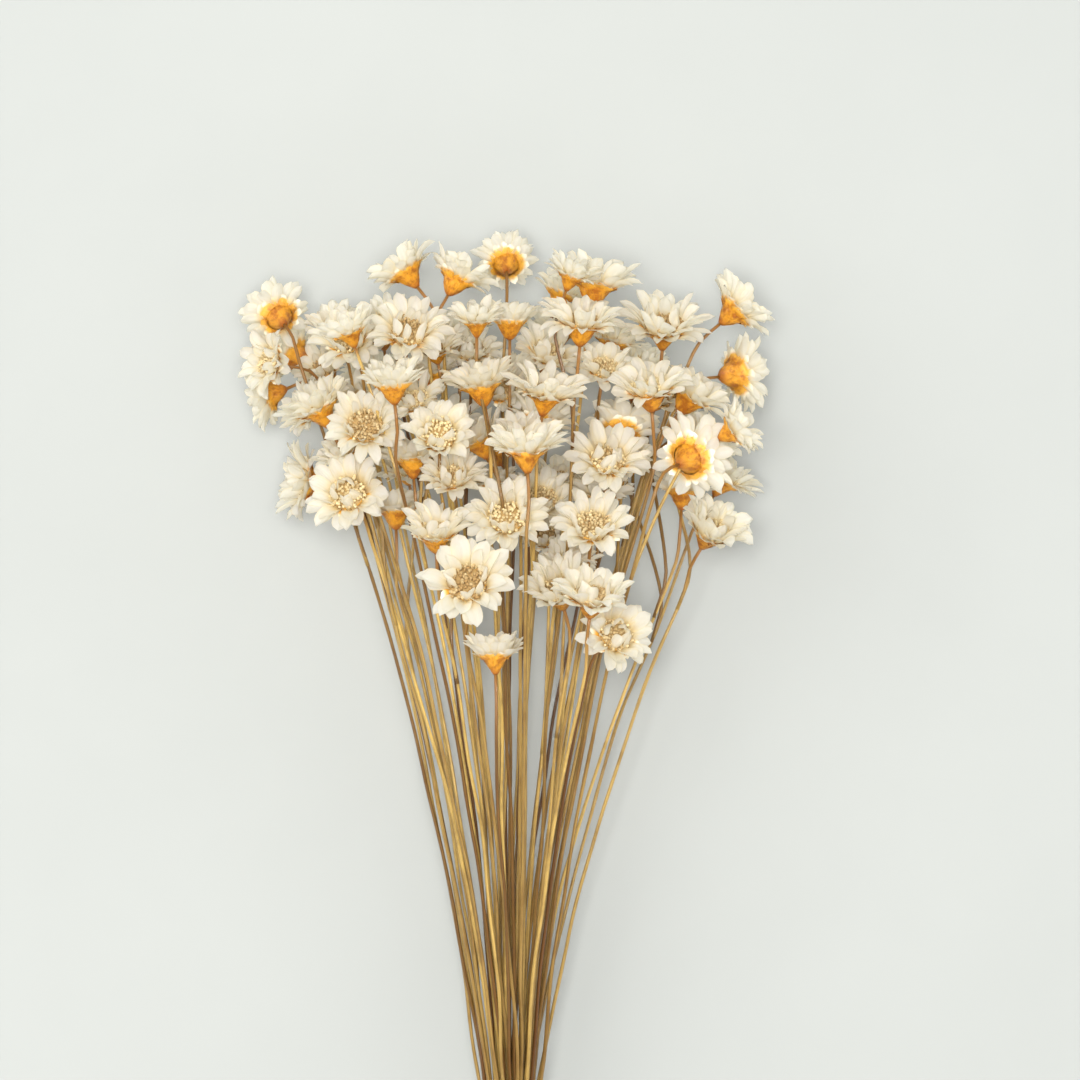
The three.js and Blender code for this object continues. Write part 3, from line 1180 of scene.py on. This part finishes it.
@dataclass
class Bracts(Part):
    """The papery star of a flower.

    Attributes:
        rows: The rows of bracts, from the outermost in.
        slimmest: The slimmest flowers' bracts are this much narrower, and so many more.
        broadest: The same for the broadest.
        most_closed: In the least open flowers, the innermost row's angles are this many times its own,
            so that it leans in over the disc.
        most_open: The same in the most open flowers.
    """

    rows: tuple[BractRow, ...] = (
        BractRow(10, 6.6 * MM, 4.2 * MM, 4.2 * MM, 4.9 * MM, 0.95, 1.50, 0.25),
        BractRow(10, 7.8 * MM, 4.5 * MM, 4.2 * MM, 5.3 * MM, 0.74, 1.22, 0.36),
        BractRow(9, 7.6 * MM, 4.5 * MM, 4.4 * MM, 5.6 * MM, 0.50, 0.88, 0.48),
        BractRow(6, 6.0 * MM, 4.0 * MM, 4.4 * MM, 5.8 * MM, 0.30, 0.34, 0.65),
    )
    slimmest: float = 0.72
    broadest: float = 1.05
    most_closed: float = -1.7
    most_open: float = 1.2

    def cover(self, skin: Skin, flower: Flower, chance: random.Random) -> None:
        """Adds the rows of bracts, each turned half a gap from the last.

        Args:
            skin: The surface to add to.
            flower: The flower.
            chance: Where their irregularity comes from.
        """
        axes = flower.axes(chance)
        slimness = chance.uniform(self.slimmest, self.broadest)
        opening = chance.triangular(self.most_closed, self.most_open, 1.0)
        rows = [
            replace(row, count=round(row.count / slimness), width=row.width * slimness)
            for row in self.rows
        ]
        rows[-1] = replace(rows[-1], start=rows[-1].start * opening, end=rows[-1].end * opening)
        for number, row in enumerate(rows):
            row.add_to(skin, axes.turned(0.5 * number * math.tau / row.count), flower, chance)


@dataclass
class Calyx(Part):
    """The golden cone under the star, covered in papery scales, with a collar of longer ones.

    Attributes:
        foot_radius: At the stem, for a flower of size 1, as are the next two.
        rim_radius: At the top.
        height: From foot to rim.
        fullness: The cone's curve on the fullest and the slimmest flowers, where 1 is straight.
        sides: How many sides the cone has.
        rings: How many stretches it has along its height.
        crease: Depth of its creases, as a share of its radius.
        crease_count: About how many creases it has on a side.
        scale_rows: How high each row of scales starts, as a share of the height.
        scale_count: How many scales are in a row.
        scale_stray: Furthest that a scale is from its even place, as a share of the gap.
        scale_length: Least and most, as a share of the height.
        scale_lift: How far its tip stands off the cone, least and most.
        scale_outline: Its width from foot to tip, as a share of the widest.
        scale_overlap: Its widest, as a share of the gap between two.
        scale_gap: How far its foot stands off the cone.
        scale_curl: How far its edges bend towards the cone.
        collar: The two rows of pointed scales that lie against the outermost bracts.
    """

    foot_radius: float = 0.75 * MM
    rim_radius: float = 4.2 * MM
    height: float = 5.9 * MM
    fullness: tuple[float, float] = (0.75, 1.2)
    sides: int = 22
    rings: int = 6
    crease: float = 0.09
    crease_count: float = 2.0
    scale_rows: tuple[float, ...] = (0.06, 0.3, 0.56)
    scale_count: int = 11
    scale_stray: float = 0.15
    scale_length: tuple[float, float] = (0.34, 0.46)
    scale_lift: tuple[float, float] = (0.12 * MM, 0.4 * MM)
    scale_outline: tuple[float, ...] = (0.7, 1.0, 0.72, 0.08)
    scale_overlap: float = 1.15
    scale_gap: float = 0.06 * MM
    scale_curl: float = 0.12 * MM
    collar: tuple[BractRow, ...] = (
        BractRow(
            14, 3.6 * MM, 3.0 * MM, 4.0 * MM, 4.9 * MM, 0.9, 1.4, 0.1,
            steps=4, strips=2, widest=0.3, foot_width=0.9, first_value=0.85, last_value=1.5,
        ),
        BractRow(
            12, 2.4 * MM, 3.0 * MM, 3.8 * MM, 4.3 * MM, 0.7, 1.1, 0.1,
            steps=4, strips=2, widest=0.3, foot_width=0.9, first_value=0.7, last_value=1.2,
        ),
    )

    def cover(self, skin: Skin, flower: Flower, chance: random.Random) -> None:
        """Adds the creased cone, its scales and its collar.

        Args:
            skin: The surface to add to.
            flower: The flower.
            chance: Where its irregularity comes from.
        """
        axes = flower.axes(chance)
        fullness = chance.uniform(*self.fullness)
        seed = chance.uniform(0, NOISE_SPAN)
        rings = []
        for k in range(self.rings + 1):
            share = k / self.rings
            ring = []
            for angle in ring_angles(self.sides):
                x, y = math.cos(angle) * self.crease_count, math.sin(angle) * self.crease_count
                crease = field_noise.noise(Vector((x, y, seed)))
                radius = self._radius(share, fullness) * flower.size * (1 + self.crease * crease)
                place = axes.turned(angle).at(radius, 0, share * self.height * flower.size)
                ring.append(skin.add_point(place, share, math.sin(angle * 3), crease))
            rings.append(ring)
        skin.add_tube(rings)
        for number, low in enumerate(self.scale_rows):
            for k in range(self.scale_count):
                stray = chance.uniform(-self.scale_stray, self.scale_stray)
                turn = (k + 0.5 * number + stray) * math.tau / self.scale_count
                self._scale(skin, axes.turned(turn), flower.size, low, fullness, chance)
        for row in self.collar:
            row.add_to(skin, axes, flower, chance)

    def _radius(self, share: float, fullness: float) -> float:
        """Returns the cone's radius at a share of its height, on a flower of size 1."""
        return lerp(self.foot_radius, self.rim_radius, share**fullness)

    def _scale(
        self, skin: Skin, axes: Axes, size: float, low: float, fullness: float, chance: random.Random
    ) -> None:
        """Adds one scale, which lies on the cone and lifts at its tip.

        Args:
            skin: The surface to add it to.
            axes: The flower's axes, turned to this scale.
            size: The flower's size.
            low: Where it starts, as a share of the cone's height.
            fullness: How full the cone is.
            chance: Where its irregularity comes from.
        """
        reach = chance.uniform(*self.scale_length)
        lift = chance.uniform(*self.scale_lift)
        tint = chance.random()
        lines = []
        for step, spread in enumerate(self.scale_outline):
            way = step / (len(self.scale_outline) - 1)
            share = low + reach * way
            radius = self._radius(min(share, 1.0), fullness) * size + self.scale_gap + lift * way
            half = math.pi / self.scale_count * self.scale_overlap * radius * spread
            line = []
            for across in (-1.0, 0.0, 1.0):
                out = radius - self.scale_curl * abs(across)
                place = axes.at(out, half * across, share * self.height * size)
                line.append(skin.add_point(place, share, across, tint))
            lines.append(line)
        skin.add_rows(lines, closed=False)


@dataclass
class Disc(Part):
    """The disc of small florets in the middle of the star, on a low dome.

    Attributes:
        radius: Of the disc on a flower of size 1, as are the next three.
        height: Of its bed above the foot of the calyx.
        floret_radius: Of one floret.
        floret_height: Of the tallest florets.
        middle_height: Height of the florets in the middle, as a share of the outermost ones'.
        count: How many florets.
        first: How far the first floret is from the middle, in florets.
        bed: The dome's radius, as a share of the disc's, and its height over the bed's, ring by ring.
        bed_sides: How many sides the dome has.
        bed_tint: Its "tint" value.
        floret: A floret's radius and height as shares of its own, ring by ring.
        sides: How many sides a floret has.
        lengths: Least and most of a floret's height, as a share.
        radii: Least and most of its radius, as a share.
        stray: Usual turn of a floret from its even place, in radians.
        leans: How far a floret leans outwards in the middle, how much more at the edge, and how much
            that differs, in radians.
        browns: How brown the florets are in the middle, how brown at the edge, and how much that differs.
        shades: How much the discs' browns differ from flower to flower.
    """

    radius: float = 4.2 * MM
    height: float = 5.8 * MM
    floret_radius: float = 0.42 * MM
    floret_height: float = 2.0 * MM
    middle_height: float = 0.75
    count: int = 88
    first: float = 0.4
    bed: tuple[tuple[float, float], ...] = (
        (1.06, -0.35 * MM), (0.95, 0.1 * MM), (0.55, 0.3 * MM), (0.05, 0.3 * MM)
    )
    bed_sides: int = 14
    bed_tint: float = 0.8
    floret: tuple[tuple[float, float], ...] = ((0.7, 0.0), (0.85, 0.55), (1.1, 0.85), (0.6, 1.0))
    sides: int = 5
    lengths: tuple[float, float] = (0.65, 1.0)
    radii: tuple[float, float] = (0.75, 1.2)
    stray: float = 0.12
    leans: tuple[float, float, float] = (0.12, 0.25, 0.2)
    browns: tuple[float, float, float] = (0.75, 0.25, 0.28)
    shades: float = 0.3

    def cover(self, skin: Skin, flower: Flower, chance: random.Random) -> None:
        """Adds the dome and the florets, which are set in a spiral.

        Args:
            skin: The surface to add to.
            flower: The flower.
            chance: Where its irregularity comes from.
        """
        axes = flower.axes(chance)
        size = flower.size
        bed = [(self.radius * wide * size, (self.height + rise) * size, 0.0) for wide, rise in self.bed]
        skin.add_turned(axes, self.bed_sides, bed, self.bed_tint)
        shade = chance.gauss(0, self.shades)
        for k in range(self.count):
            reach = math.sqrt((k + self.first) / self.count)
            turned = axes.turned(k * GOLDEN_ANGLE + chance.gauss(0, self.stray))
            self._floret(skin, turned, size, reach, shade, chance)

    def _floret(
        self, skin: Skin, axes: Axes, size: float, reach: float, shade: float, chance: random.Random
    ) -> None:
        """Adds one floret, a stubby tube that leans outwards.

        Args:
            skin: The surface to add it to.
            axes: The flower's axes, turned to this floret.
            size: The flower's size.
            reach: How far out it stands, as a share of the disc's radius.
            shade: How much browner than usual the disc is.
            chance: Where its irregularity comes from.
        """
        tall = self.floret_height * size * chance.uniform(*self.lengths)
        tall *= lerp(self.middle_height, 1.0, reach)
        radius = self.floret_radius * size * chance.uniform(*self.radii)
        inner, outer, differs = self.browns
        tint = min(1.0, max(0.0, chance.gauss(lerp(inner, outer, reach) + shade, differs)))
        usual, more, differs = self.leans
        lean = chance.gauss(usual, differs) + more * reach
        foot = axes.at(self.radius * reach * size, 0, self.height * size)
        up = axes.along * math.cos(lean) + axes.out * math.sin(lean)
        stand = Axes.facing(foot, up, chance.uniform(0, math.tau))
        profile = [(radius * wide, tall * share, share) for wide, share in self.floret]
        skin.add_turned(stand, self.sides, profile, tint, foot=False)


@dataclass
class FlowerMaker:
    """Grows whole flowers.

    Attributes:
        finishes: The material of each part of a flower, by the part's name.
        stem: The stems' sizes.
        bracts: The bracts' sizes.
        calyx: The calyxes' sizes.
        disc: The discs' sizes.
    """

    finishes: dict[str, bpy.types.Material]
    stem: Stem = field(default_factory=Stem)
    bracts: Bracts = field(default_factory=Bracts)
    calyx: Calyx = field(default_factory=Calyx)
    disc: Disc = field(default_factory=Disc)

    def grow(self, flower: Flower, seed: int) -> None:
        """Grows one flower in place of its node.

        Args:
            flower: The flower.
            seed: Sets its irregularity.
        """
        chance = random.Random(seed)
        parts = {"stem": self.stem, "calyx": self.calyx, "bracts": self.bracts, "disc": self.disc}
        for name, part in parts.items():
            skin = Skin()
            part.cover(skin, flower, chance)
            piece = skin.make(f"{flower.name}_{name}", self.finishes[name])
            if flower.has_node:
                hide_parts(flower.name)
        opens = math.degrees(flower.spread)
        log.info("%s: size %.2f, opens %.0f degrees", flower.name, flower.size, opens)


@dataclass
class SideBlooms:
    """Smaller blooms on short side branches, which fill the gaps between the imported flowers.

    Attributes:
        blooms: For each, its place to the right of the band's middle and beyond it in millimetres,
            the way it faces (degrees round from +X, then degrees up from the table), its size and
            how wide it opens in degrees.
        calyx_height: Of a flower of size 1.
        star_height: From the calyx's rim to the middle of the star, on a flower of size 1.
        neck: Length of the branch that is in line with the bloom.
        branch: About how far below its bloom a branch leaves its stem.
        branch_play: How much shorter or longer it may be, as a share.
        branch_shoot: How far it goes on along the stem at first, as a share of its length.
        branch_aside: How far it has then gone towards its bloom, as a share of the way.
        lowest: The lowest that a side bloom's middle lies above the table.
        highest: The highest.
        step: Between the heights that are tried.
        stem_step: Between the places on a stem that are tried.
        enough_room: Distance from its middle to the nearest other one's that is enough.
    """

    blooms: tuple[tuple[float, float, float, float, float, float], ...] = (
        (-40, 213, 110, 10, 0.74, 55),
        (-33, 214, 95, 35, 0.74, 60),
        (-19, 210, 100, 30, 0.82, 60),
        (-10, 209, 90, 30, 0.82, 60),
        (-52, 194, 150, 30, 0.8, 62),
        (-5, 176, 90, 10, 0.7, 50),
        (13, 177, 85, 30, 0.76, 60),
        (9, 162, 95, 35, 0.78, 60),
        (6, 194, 90, 30, 0.76, 60),
        (30, 191, 85, 40, 0.78, 62),
        (34, 207, 80, 20, 0.72, 55),
        (16, 227, 70, 10, 0.72, 55),
        (51, 186, 50, 30, 0.8, 60),
        (57, 188, 30, 10, 0.78, 60),
        (-24, 196, 100, 40, 0.8, 62),
        (24, 204, 80, 40, 0.8, 62),
        (15, 156, 85, 20, 0.78, 58),
        (-43, 183, 130, 20, 0.78, 58),
        (-14, 177, 95, 40, 0.84, 62),
        (-2, 199, 90, 45, 0.8, 62),
        (-40, 196, 120, 45, 0.84, 64),
        (-27, 180, 100, 30, 0.84, 60),
        (29, 181, 85, 40, 0.8, 60),
        (-15, 191, 95, 45, 0.8, 62),
        (-49, 205, 130, 40, 0.78, 60),
        (-8, 216, 90, 15, 0.76, 56),
        (4, 186, 90, 45, 0.8, 60),
        (38, 198, 75, 40, 0.78, 60),
    )
    calyx_height: float = 5.6 * MM
    star_height: float = 2.6 * MM
    neck: float = 6 * MM
    branch: float = 42 * MM
    branch_play: float = 0.2
    branch_shoot: float = 0.2
    branch_aside: float = 0.08
    lowest: float = 22 * MM
    highest: float = 64 * MM
    step: float = 2 * MM
    stem_step: float = 4 * MM
    enough_room: float = 14.5 * MM

    def branch_off(self, flowers: Sequence[Flower], band_middle: Vector) -> list[Flower]:
        """Finds room for each side bloom, and a stem that its branch can leave.

        Args:
            flowers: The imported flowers.
            band_middle: The middle of the elastic band.

        Returns:
            The side blooms.
        """
        taken = [self._middle(flower) for flower in flowers]
        stems = [smooth_curve(flower.course, self.stem_step) for flower in flowers]
        added = []
        for number, (right, beyond, turn, lift, size, opens) in enumerate(self.blooms, start=1):
            place = band_middle + Vector((right * MM, beyond * MM, 0))
            place.z = self._height_with_room(place, taken)
            turned, lifted = math.radians(turn), math.radians(lift)
            level = math.cos(lifted)
            facing = Vector((math.cos(turned) * level, math.sin(turned) * level, math.sin(lifted)))
            foot = place - facing * (self.calyx_height + self.star_height) * size
            neck = foot - facing * self.neck
            start, after = self._leave_stem(neck, stems)
            bend = neck - (facing + (neck - after).normalized()).normalized() * self.neck
            course = [start, after, bend, neck, foot]
            added.append(Flower(f"side_bloom_{number:02d}", course, size, math.radians(opens), False))
            taken.append(place)
        return added

    def _middle(self, flower: Flower) -> Vector:
        """Returns the middle of a flower's star."""
        return flower.foot + flower.facing * (self.calyx_height + self.star_height) * flower.size

    def _height_with_room(self, place: Vector, taken: Sequence[Vector]) -> float:
        """Finds the greatest height at which a place is far enough from all other blooms.

        Args:
            place: The place, at any height.
            taken: The middles of the blooms that are there already.

        Returns:
            The height above the table. If none is far enough from them, it is the furthest one.
        """
        best, most_room = self.highest, 0.0
        height = self.highest
        while height > self.lowest and most_room < self.enough_room:
            here = Vector((place.x, place.y, height))
            room = min((here - other).length for other in taken)
            if room > most_room:
                best, most_room = height, room
            height -= self.step
        return best

    def _leave_stem(self, neck: Vector, stems: Sequence[Sequence[Vector]]) -> list[Vector]:
        """Finds where a branch leaves the stem that passes nearest below its bloom.

        Args:
            neck: Where the branch has to get to.
            stems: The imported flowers' stems.

        Returns:
            The branch's first two points.
        """
        best, nearest = None, math.inf
        for stem in stems:
            for k in range(1, len(stem) - 1):
                below = neck.y - stem[k].y
                if (1 - self.branch_play) * self.branch < below < (1 + self.branch_play) * self.branch:
                    aside = math.hypot(neck.x - stem[k].x, neck.z - stem[k].z)
                    if aside < nearest:
                        best, nearest = (stem[k], stem[k + 1]), aside
        start, after = best
        ahead = (after - start).normalized() * self.branch_shoot * self.branch
        return [start, start + ahead + (neck - start) * self.branch_aside]


# ---- The elastic band ----


@dataclass
class Band:
    """The elastic band, wound tightly round the stems as one long loop.

    Attributes:
        node: The node that it stands for.
        turns: How many times it goes round.
        width: Of the rubber.
        thick: Of the rubber.
        steps: How many stretches a turn has.
        squeeze: Distance from a stem's middle to the band where they touch.
        drift: How far its turns wander from their even places along the bunch.
        drift_speed: How fast they do, in radians a turn.
        tuck: How far its ends are tucked in under the other turns.
        tuck_turns: The part of a turn over which each end is tucked in.
        least_facing: Only stems whose side faces the band by this cosine or more hold it off.
        section: The corners of its section, outwards and along the bunch.
    """

    node: str = "elastic_band"
    turns: int = 4
    width: float = 1.35 * MM
    thick: float = 1.1 * MM
    steps: int = 48
    squeeze: float = 0.6 * MM
    drift: float = 0.12 * MM
    drift_speed: float = 5.0
    tuck: float = 0.35 * MM
    tuck_turns: float = 1 / 3
    least_facing: float = 0.3
    section: tuple[tuple[float, float], ...] = (
        (-1, -0.8), (-0.6, -1), (0.6, -1), (1, -0.75), (1, 0.75), (0.6, 1), (-0.6, 1), (-1, 0.8)
    )

    def middle(self) -> Vector:
        """Returns the middle of the band's node."""
        low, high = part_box(self.node)
        return (Vector(low) + Vector(high)) / 2

    def wind(self, flowers: Sequence[Flower], material: bpy.types.Material) -> bpy.types.Object:
        """Makes the band.

        Args:
            flowers: The flowers that it holds.
            material: Its finish.

        Returns:
            The band.
        """
        low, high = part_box(self.node)
        # The stems' third and fourth points lie on either side of the band.
        slope = sum((flower.course[3] - flower.course[2] for flower in flowers), Vector())
        axes = Axes.facing(self.middle(), slope)
        reach = self._hug(axes, flowers)
        pitch = (high[1] - low[1] - self.width) / self.turns
        skin = Skin()
        rings = []
        for k in range(self.turns * self.steps + 1):
            turn = k / self.steps
            turned = axes.turned(turn * math.tau)
            beyond = (turn - self.turns / 2) * pitch + self.drift * math.sin(turn * self.drift_speed)
            from_end = min(turn, self.turns - turn)
            tucked = self.tuck * max(0.0, 1 - from_end / self.tuck_turns)
            middle = reach[k % self.steps] + self.thick / 2 - tucked
            ring = []
            for out, along in self.section:
                place = turned.at(middle + out * self.thick / 2, 0, beyond + along * self.width / 2)
                ring.append(skin.add_point(place, turn / self.turns, along, 0.5))
            rings.append(ring)
        skin.add_tube(rings)
        piece = skin.make(self.node + "_turns", material)
        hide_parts(self.node)
        log.info("elastic band: %d turns, %.1f mm across", self.turns, max(reach) * 2 / MM)
        return piece

    def _hug(self, axes: Axes, flowers: Sequence[Flower]) -> list[float]:
        """Finds how far out a tight band lies, which is straight between the stems it touches.

        Args:
            axes: The middle of the band and the way through it.
            flowers: The flowers that it holds.

        Returns:
            The band's distance from its middle at each step of a turn.
        """
        places = []
        for flower in flowers:
            place = (flower.course[2] + flower.course[3]) / 2 - axes.origin
            places.append((place.dot(axes.out), place.dot(axes.round)))
        angles = ring_angles(self.steps)
        flats = [
            (angle, max(x * math.cos(angle) + y * math.sin(angle) for x, y in places) + self.squeeze)
            for angle in angles
        ]
        reach = []
        for way in angles:
            facings = ((math.cos(way - angle), flat) for angle, flat in flats)
            reach.append(min(flat / facing for facing, flat in facings if facing > self.least_facing))
        return reach


# ---- The studio ----


@dataclass(frozen=True)
class Lamp:
    """A square lamp that points at the bunch.

    Attributes:
        name: Its name.
        offset: Where it hangs, from what it points at.
        side: Length of its sides.
        power: In watts.
        colour: Of its light.
    """

    name: str
    offset: tuple[float, float, float]
    side: float
    power: float
    colour: tuple[float, float, float]

    def hang(self, target: Vector) -> None:
        """Hangs the lamp.

        Args:
            target: What it points at.
        """
        data = bpy.data.lights.new(self.name, "AREA")
        data.shape = "SQUARE"
        data.size = self.side
        data.energy = self.power
        data.color = self.colour
        offset = Vector(self.offset)
        lamp = new_object(self.name, data)
        lamp.location = target + offset
        lamp.rotation_mode = "QUATERNION"
        lamp.rotation_quaternion = (-offset).to_track_quat("-Z", "Y")


@dataclass
class Studio:
    """The pale table, the soft light and the camera that looks straight down.

    Attributes:
        view_width: How much of the bunch's length and width the picture takes in.
        view_right: How far the picture's middle is to the right of the band.
        view_up: How far the picture's middle is beyond the band.
        view_height: Height above the table of the blooms that the picture is sized for.
        lens: Focal length, in millimetres.
        sensor: Width of the sensor, in millimetres.
        table: Length of the table's sides.
        table_flat: How far from its middle the table is flat, as a share of its length.
        table_bow: How steeply it bows up beyond that.
        table_steps: How many squares it has along a side.
        lamps: A window at the left, a weak fill at the right and a small lamp overhead.
        room: Colour of the room's light.
        horizon: Strength of the room's light from the sides. From above it is weaker by 1.
    """

    view_width: float = 270 * MM
    view_right: float = 7.6 * MM
    view_up: float = 160 * MM
    view_height: float = 50 * MM
    lens: float = 120.0
    sensor: float = 36.0
    table: float = 6.0
    table_flat: float = 0.3
    table_bow: float = 0.45
    table_steps: int = 24
    lamps: tuple[Lamp, ...] = (
        Lamp("window", (-1.0, 0.3, 1.1), 1.4, 9.0, (1.0, 0.99, 0.97)),
        Lamp("fill", (1.2, -0.5, 0.9), 1.5, 4.0, (0.98, 0.99, 1.0)),
        Lamp("overhead", (-0.03, 0.02, 0.95), 0.22, 9.0, (1.0, 0.995, 0.985)),
    )
    room: Colour = (1.0, 0.99, 0.97, 1.0)
    horizon: float = 1.5

    def set_up(self, band_middle: Vector, material: bpy.types.Material) -> None:
        """Makes the table, the lights and the camera.

        Args:
            band_middle: The middle of the elastic band.
            material: The table's finish.
        """
        target = Vector((band_middle.x + self.view_right, band_middle.y + self.view_up, self.view_height))
        self._lay_table(material)
        for lamp in self.lamps:
            lamp.hang(target)
        self._light_room()
        self._aim_camera(target)
        bpy.context.scene.view_settings.view_transform = "Standard"
        log.info("studio: picture %.0f mm wide", self.view_width / MM)

    def _lay_table(self, material: bpy.types.Material) -> None:
        """Makes the table top, a wide sheet that bows up out of sight at its edges.

        Args:
            material: Its finish.
        """
        lines = [self.table * (k / self.table_steps - 0.5) for k in range(self.table_steps + 1)]
        points, faces = [], []
        for y in lines:
            for x in lines:
                beyond = max(0.0, math.hypot(x, y) - self.table * self.table_flat)
                points.append((x, y, self.table_bow * beyond * beyond))
        row = len(lines)
        for start in range(0, row * (row - 1), row):
            for corner in range(start, start + row - 1):
                faces.append((corner, corner + 1, corner + row + 1, corner + row))
        mesh = bpy.data.meshes.new("table_top")
        mesh.from_pydata(points, [], faces)
        mesh.shade_smooth()
        mesh.materials.append(material)
        new_object("table_top", mesh)

    def _light_room(self) -> None:
        """Lights the bunch from all round, most from the sides."""
        world = bpy.data.worlds.new("pale room")
        world.use_nodes = True
        graph = Graph(world.node_tree)
        place = graph.node("TexCoord").outputs["Generated"]
        height = graph.feed(graph.node("SeparateXYZ"), Vector=place).outputs["Z"]
        strength = graph.math("SUBTRACT", self.horizon, graph.ramp(height, 0.0, 1.0))
        graph.feed(world.node_tree.nodes["Background"], Color=self.room, Strength=strength)
        bpy.context.scene.world = world

    def _aim_camera(self, target: Vector) -> None:
        """Hangs the camera over the bunch, looking straight down with the blooms at the top.

        Args:
            target: The middle of its picture.
        """
        data = bpy.data.cameras.new("camera")
        data.lens = self.lens
        data.sensor_width = self.sensor
        camera = new_object("camera", data)
        camera.location = target + UP * (self.view_width * self.lens / self.sensor)
        bpy.context.scene.camera = camera


# ---- The bunch ----


def main() -> None:
    """Builds the bunch and the studio round it."""
    logging.basicConfig(level=logging.INFO, format="%(name)s: %(message)s")
    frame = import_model()
    field_noise.seed_set(NOISE_SEED)
    effects = Effects()
    finishes = {
        "stem": StemFinish(), "calyx": CalyxFinish(), "bracts": BractFinish(), "disc": DiscFinish()
    }
    maker = FlowerMaker({part: finish.make(effects) for part, finish in finishes.items()})
    band = Band()
    band_middle = band.middle()
    reader = FlowerReader()
    names = sorted(name for name in frame["nodes"] if name.startswith("flower_"))
    flowers = [reader.read(name, frame["nodes"][name]) for name in names]
    flowers += SideBlooms().branch_off(flowers, band_middle)
    for seed, flower in enumerate(flowers):
        maker.grow(flower, seed)
    band.wind(flowers[: len(names)], RubberFinish().make(effects))
    Studio().set_up(band_middle, TableFinish().make(effects))


if __name__ == "__main__":
    main()
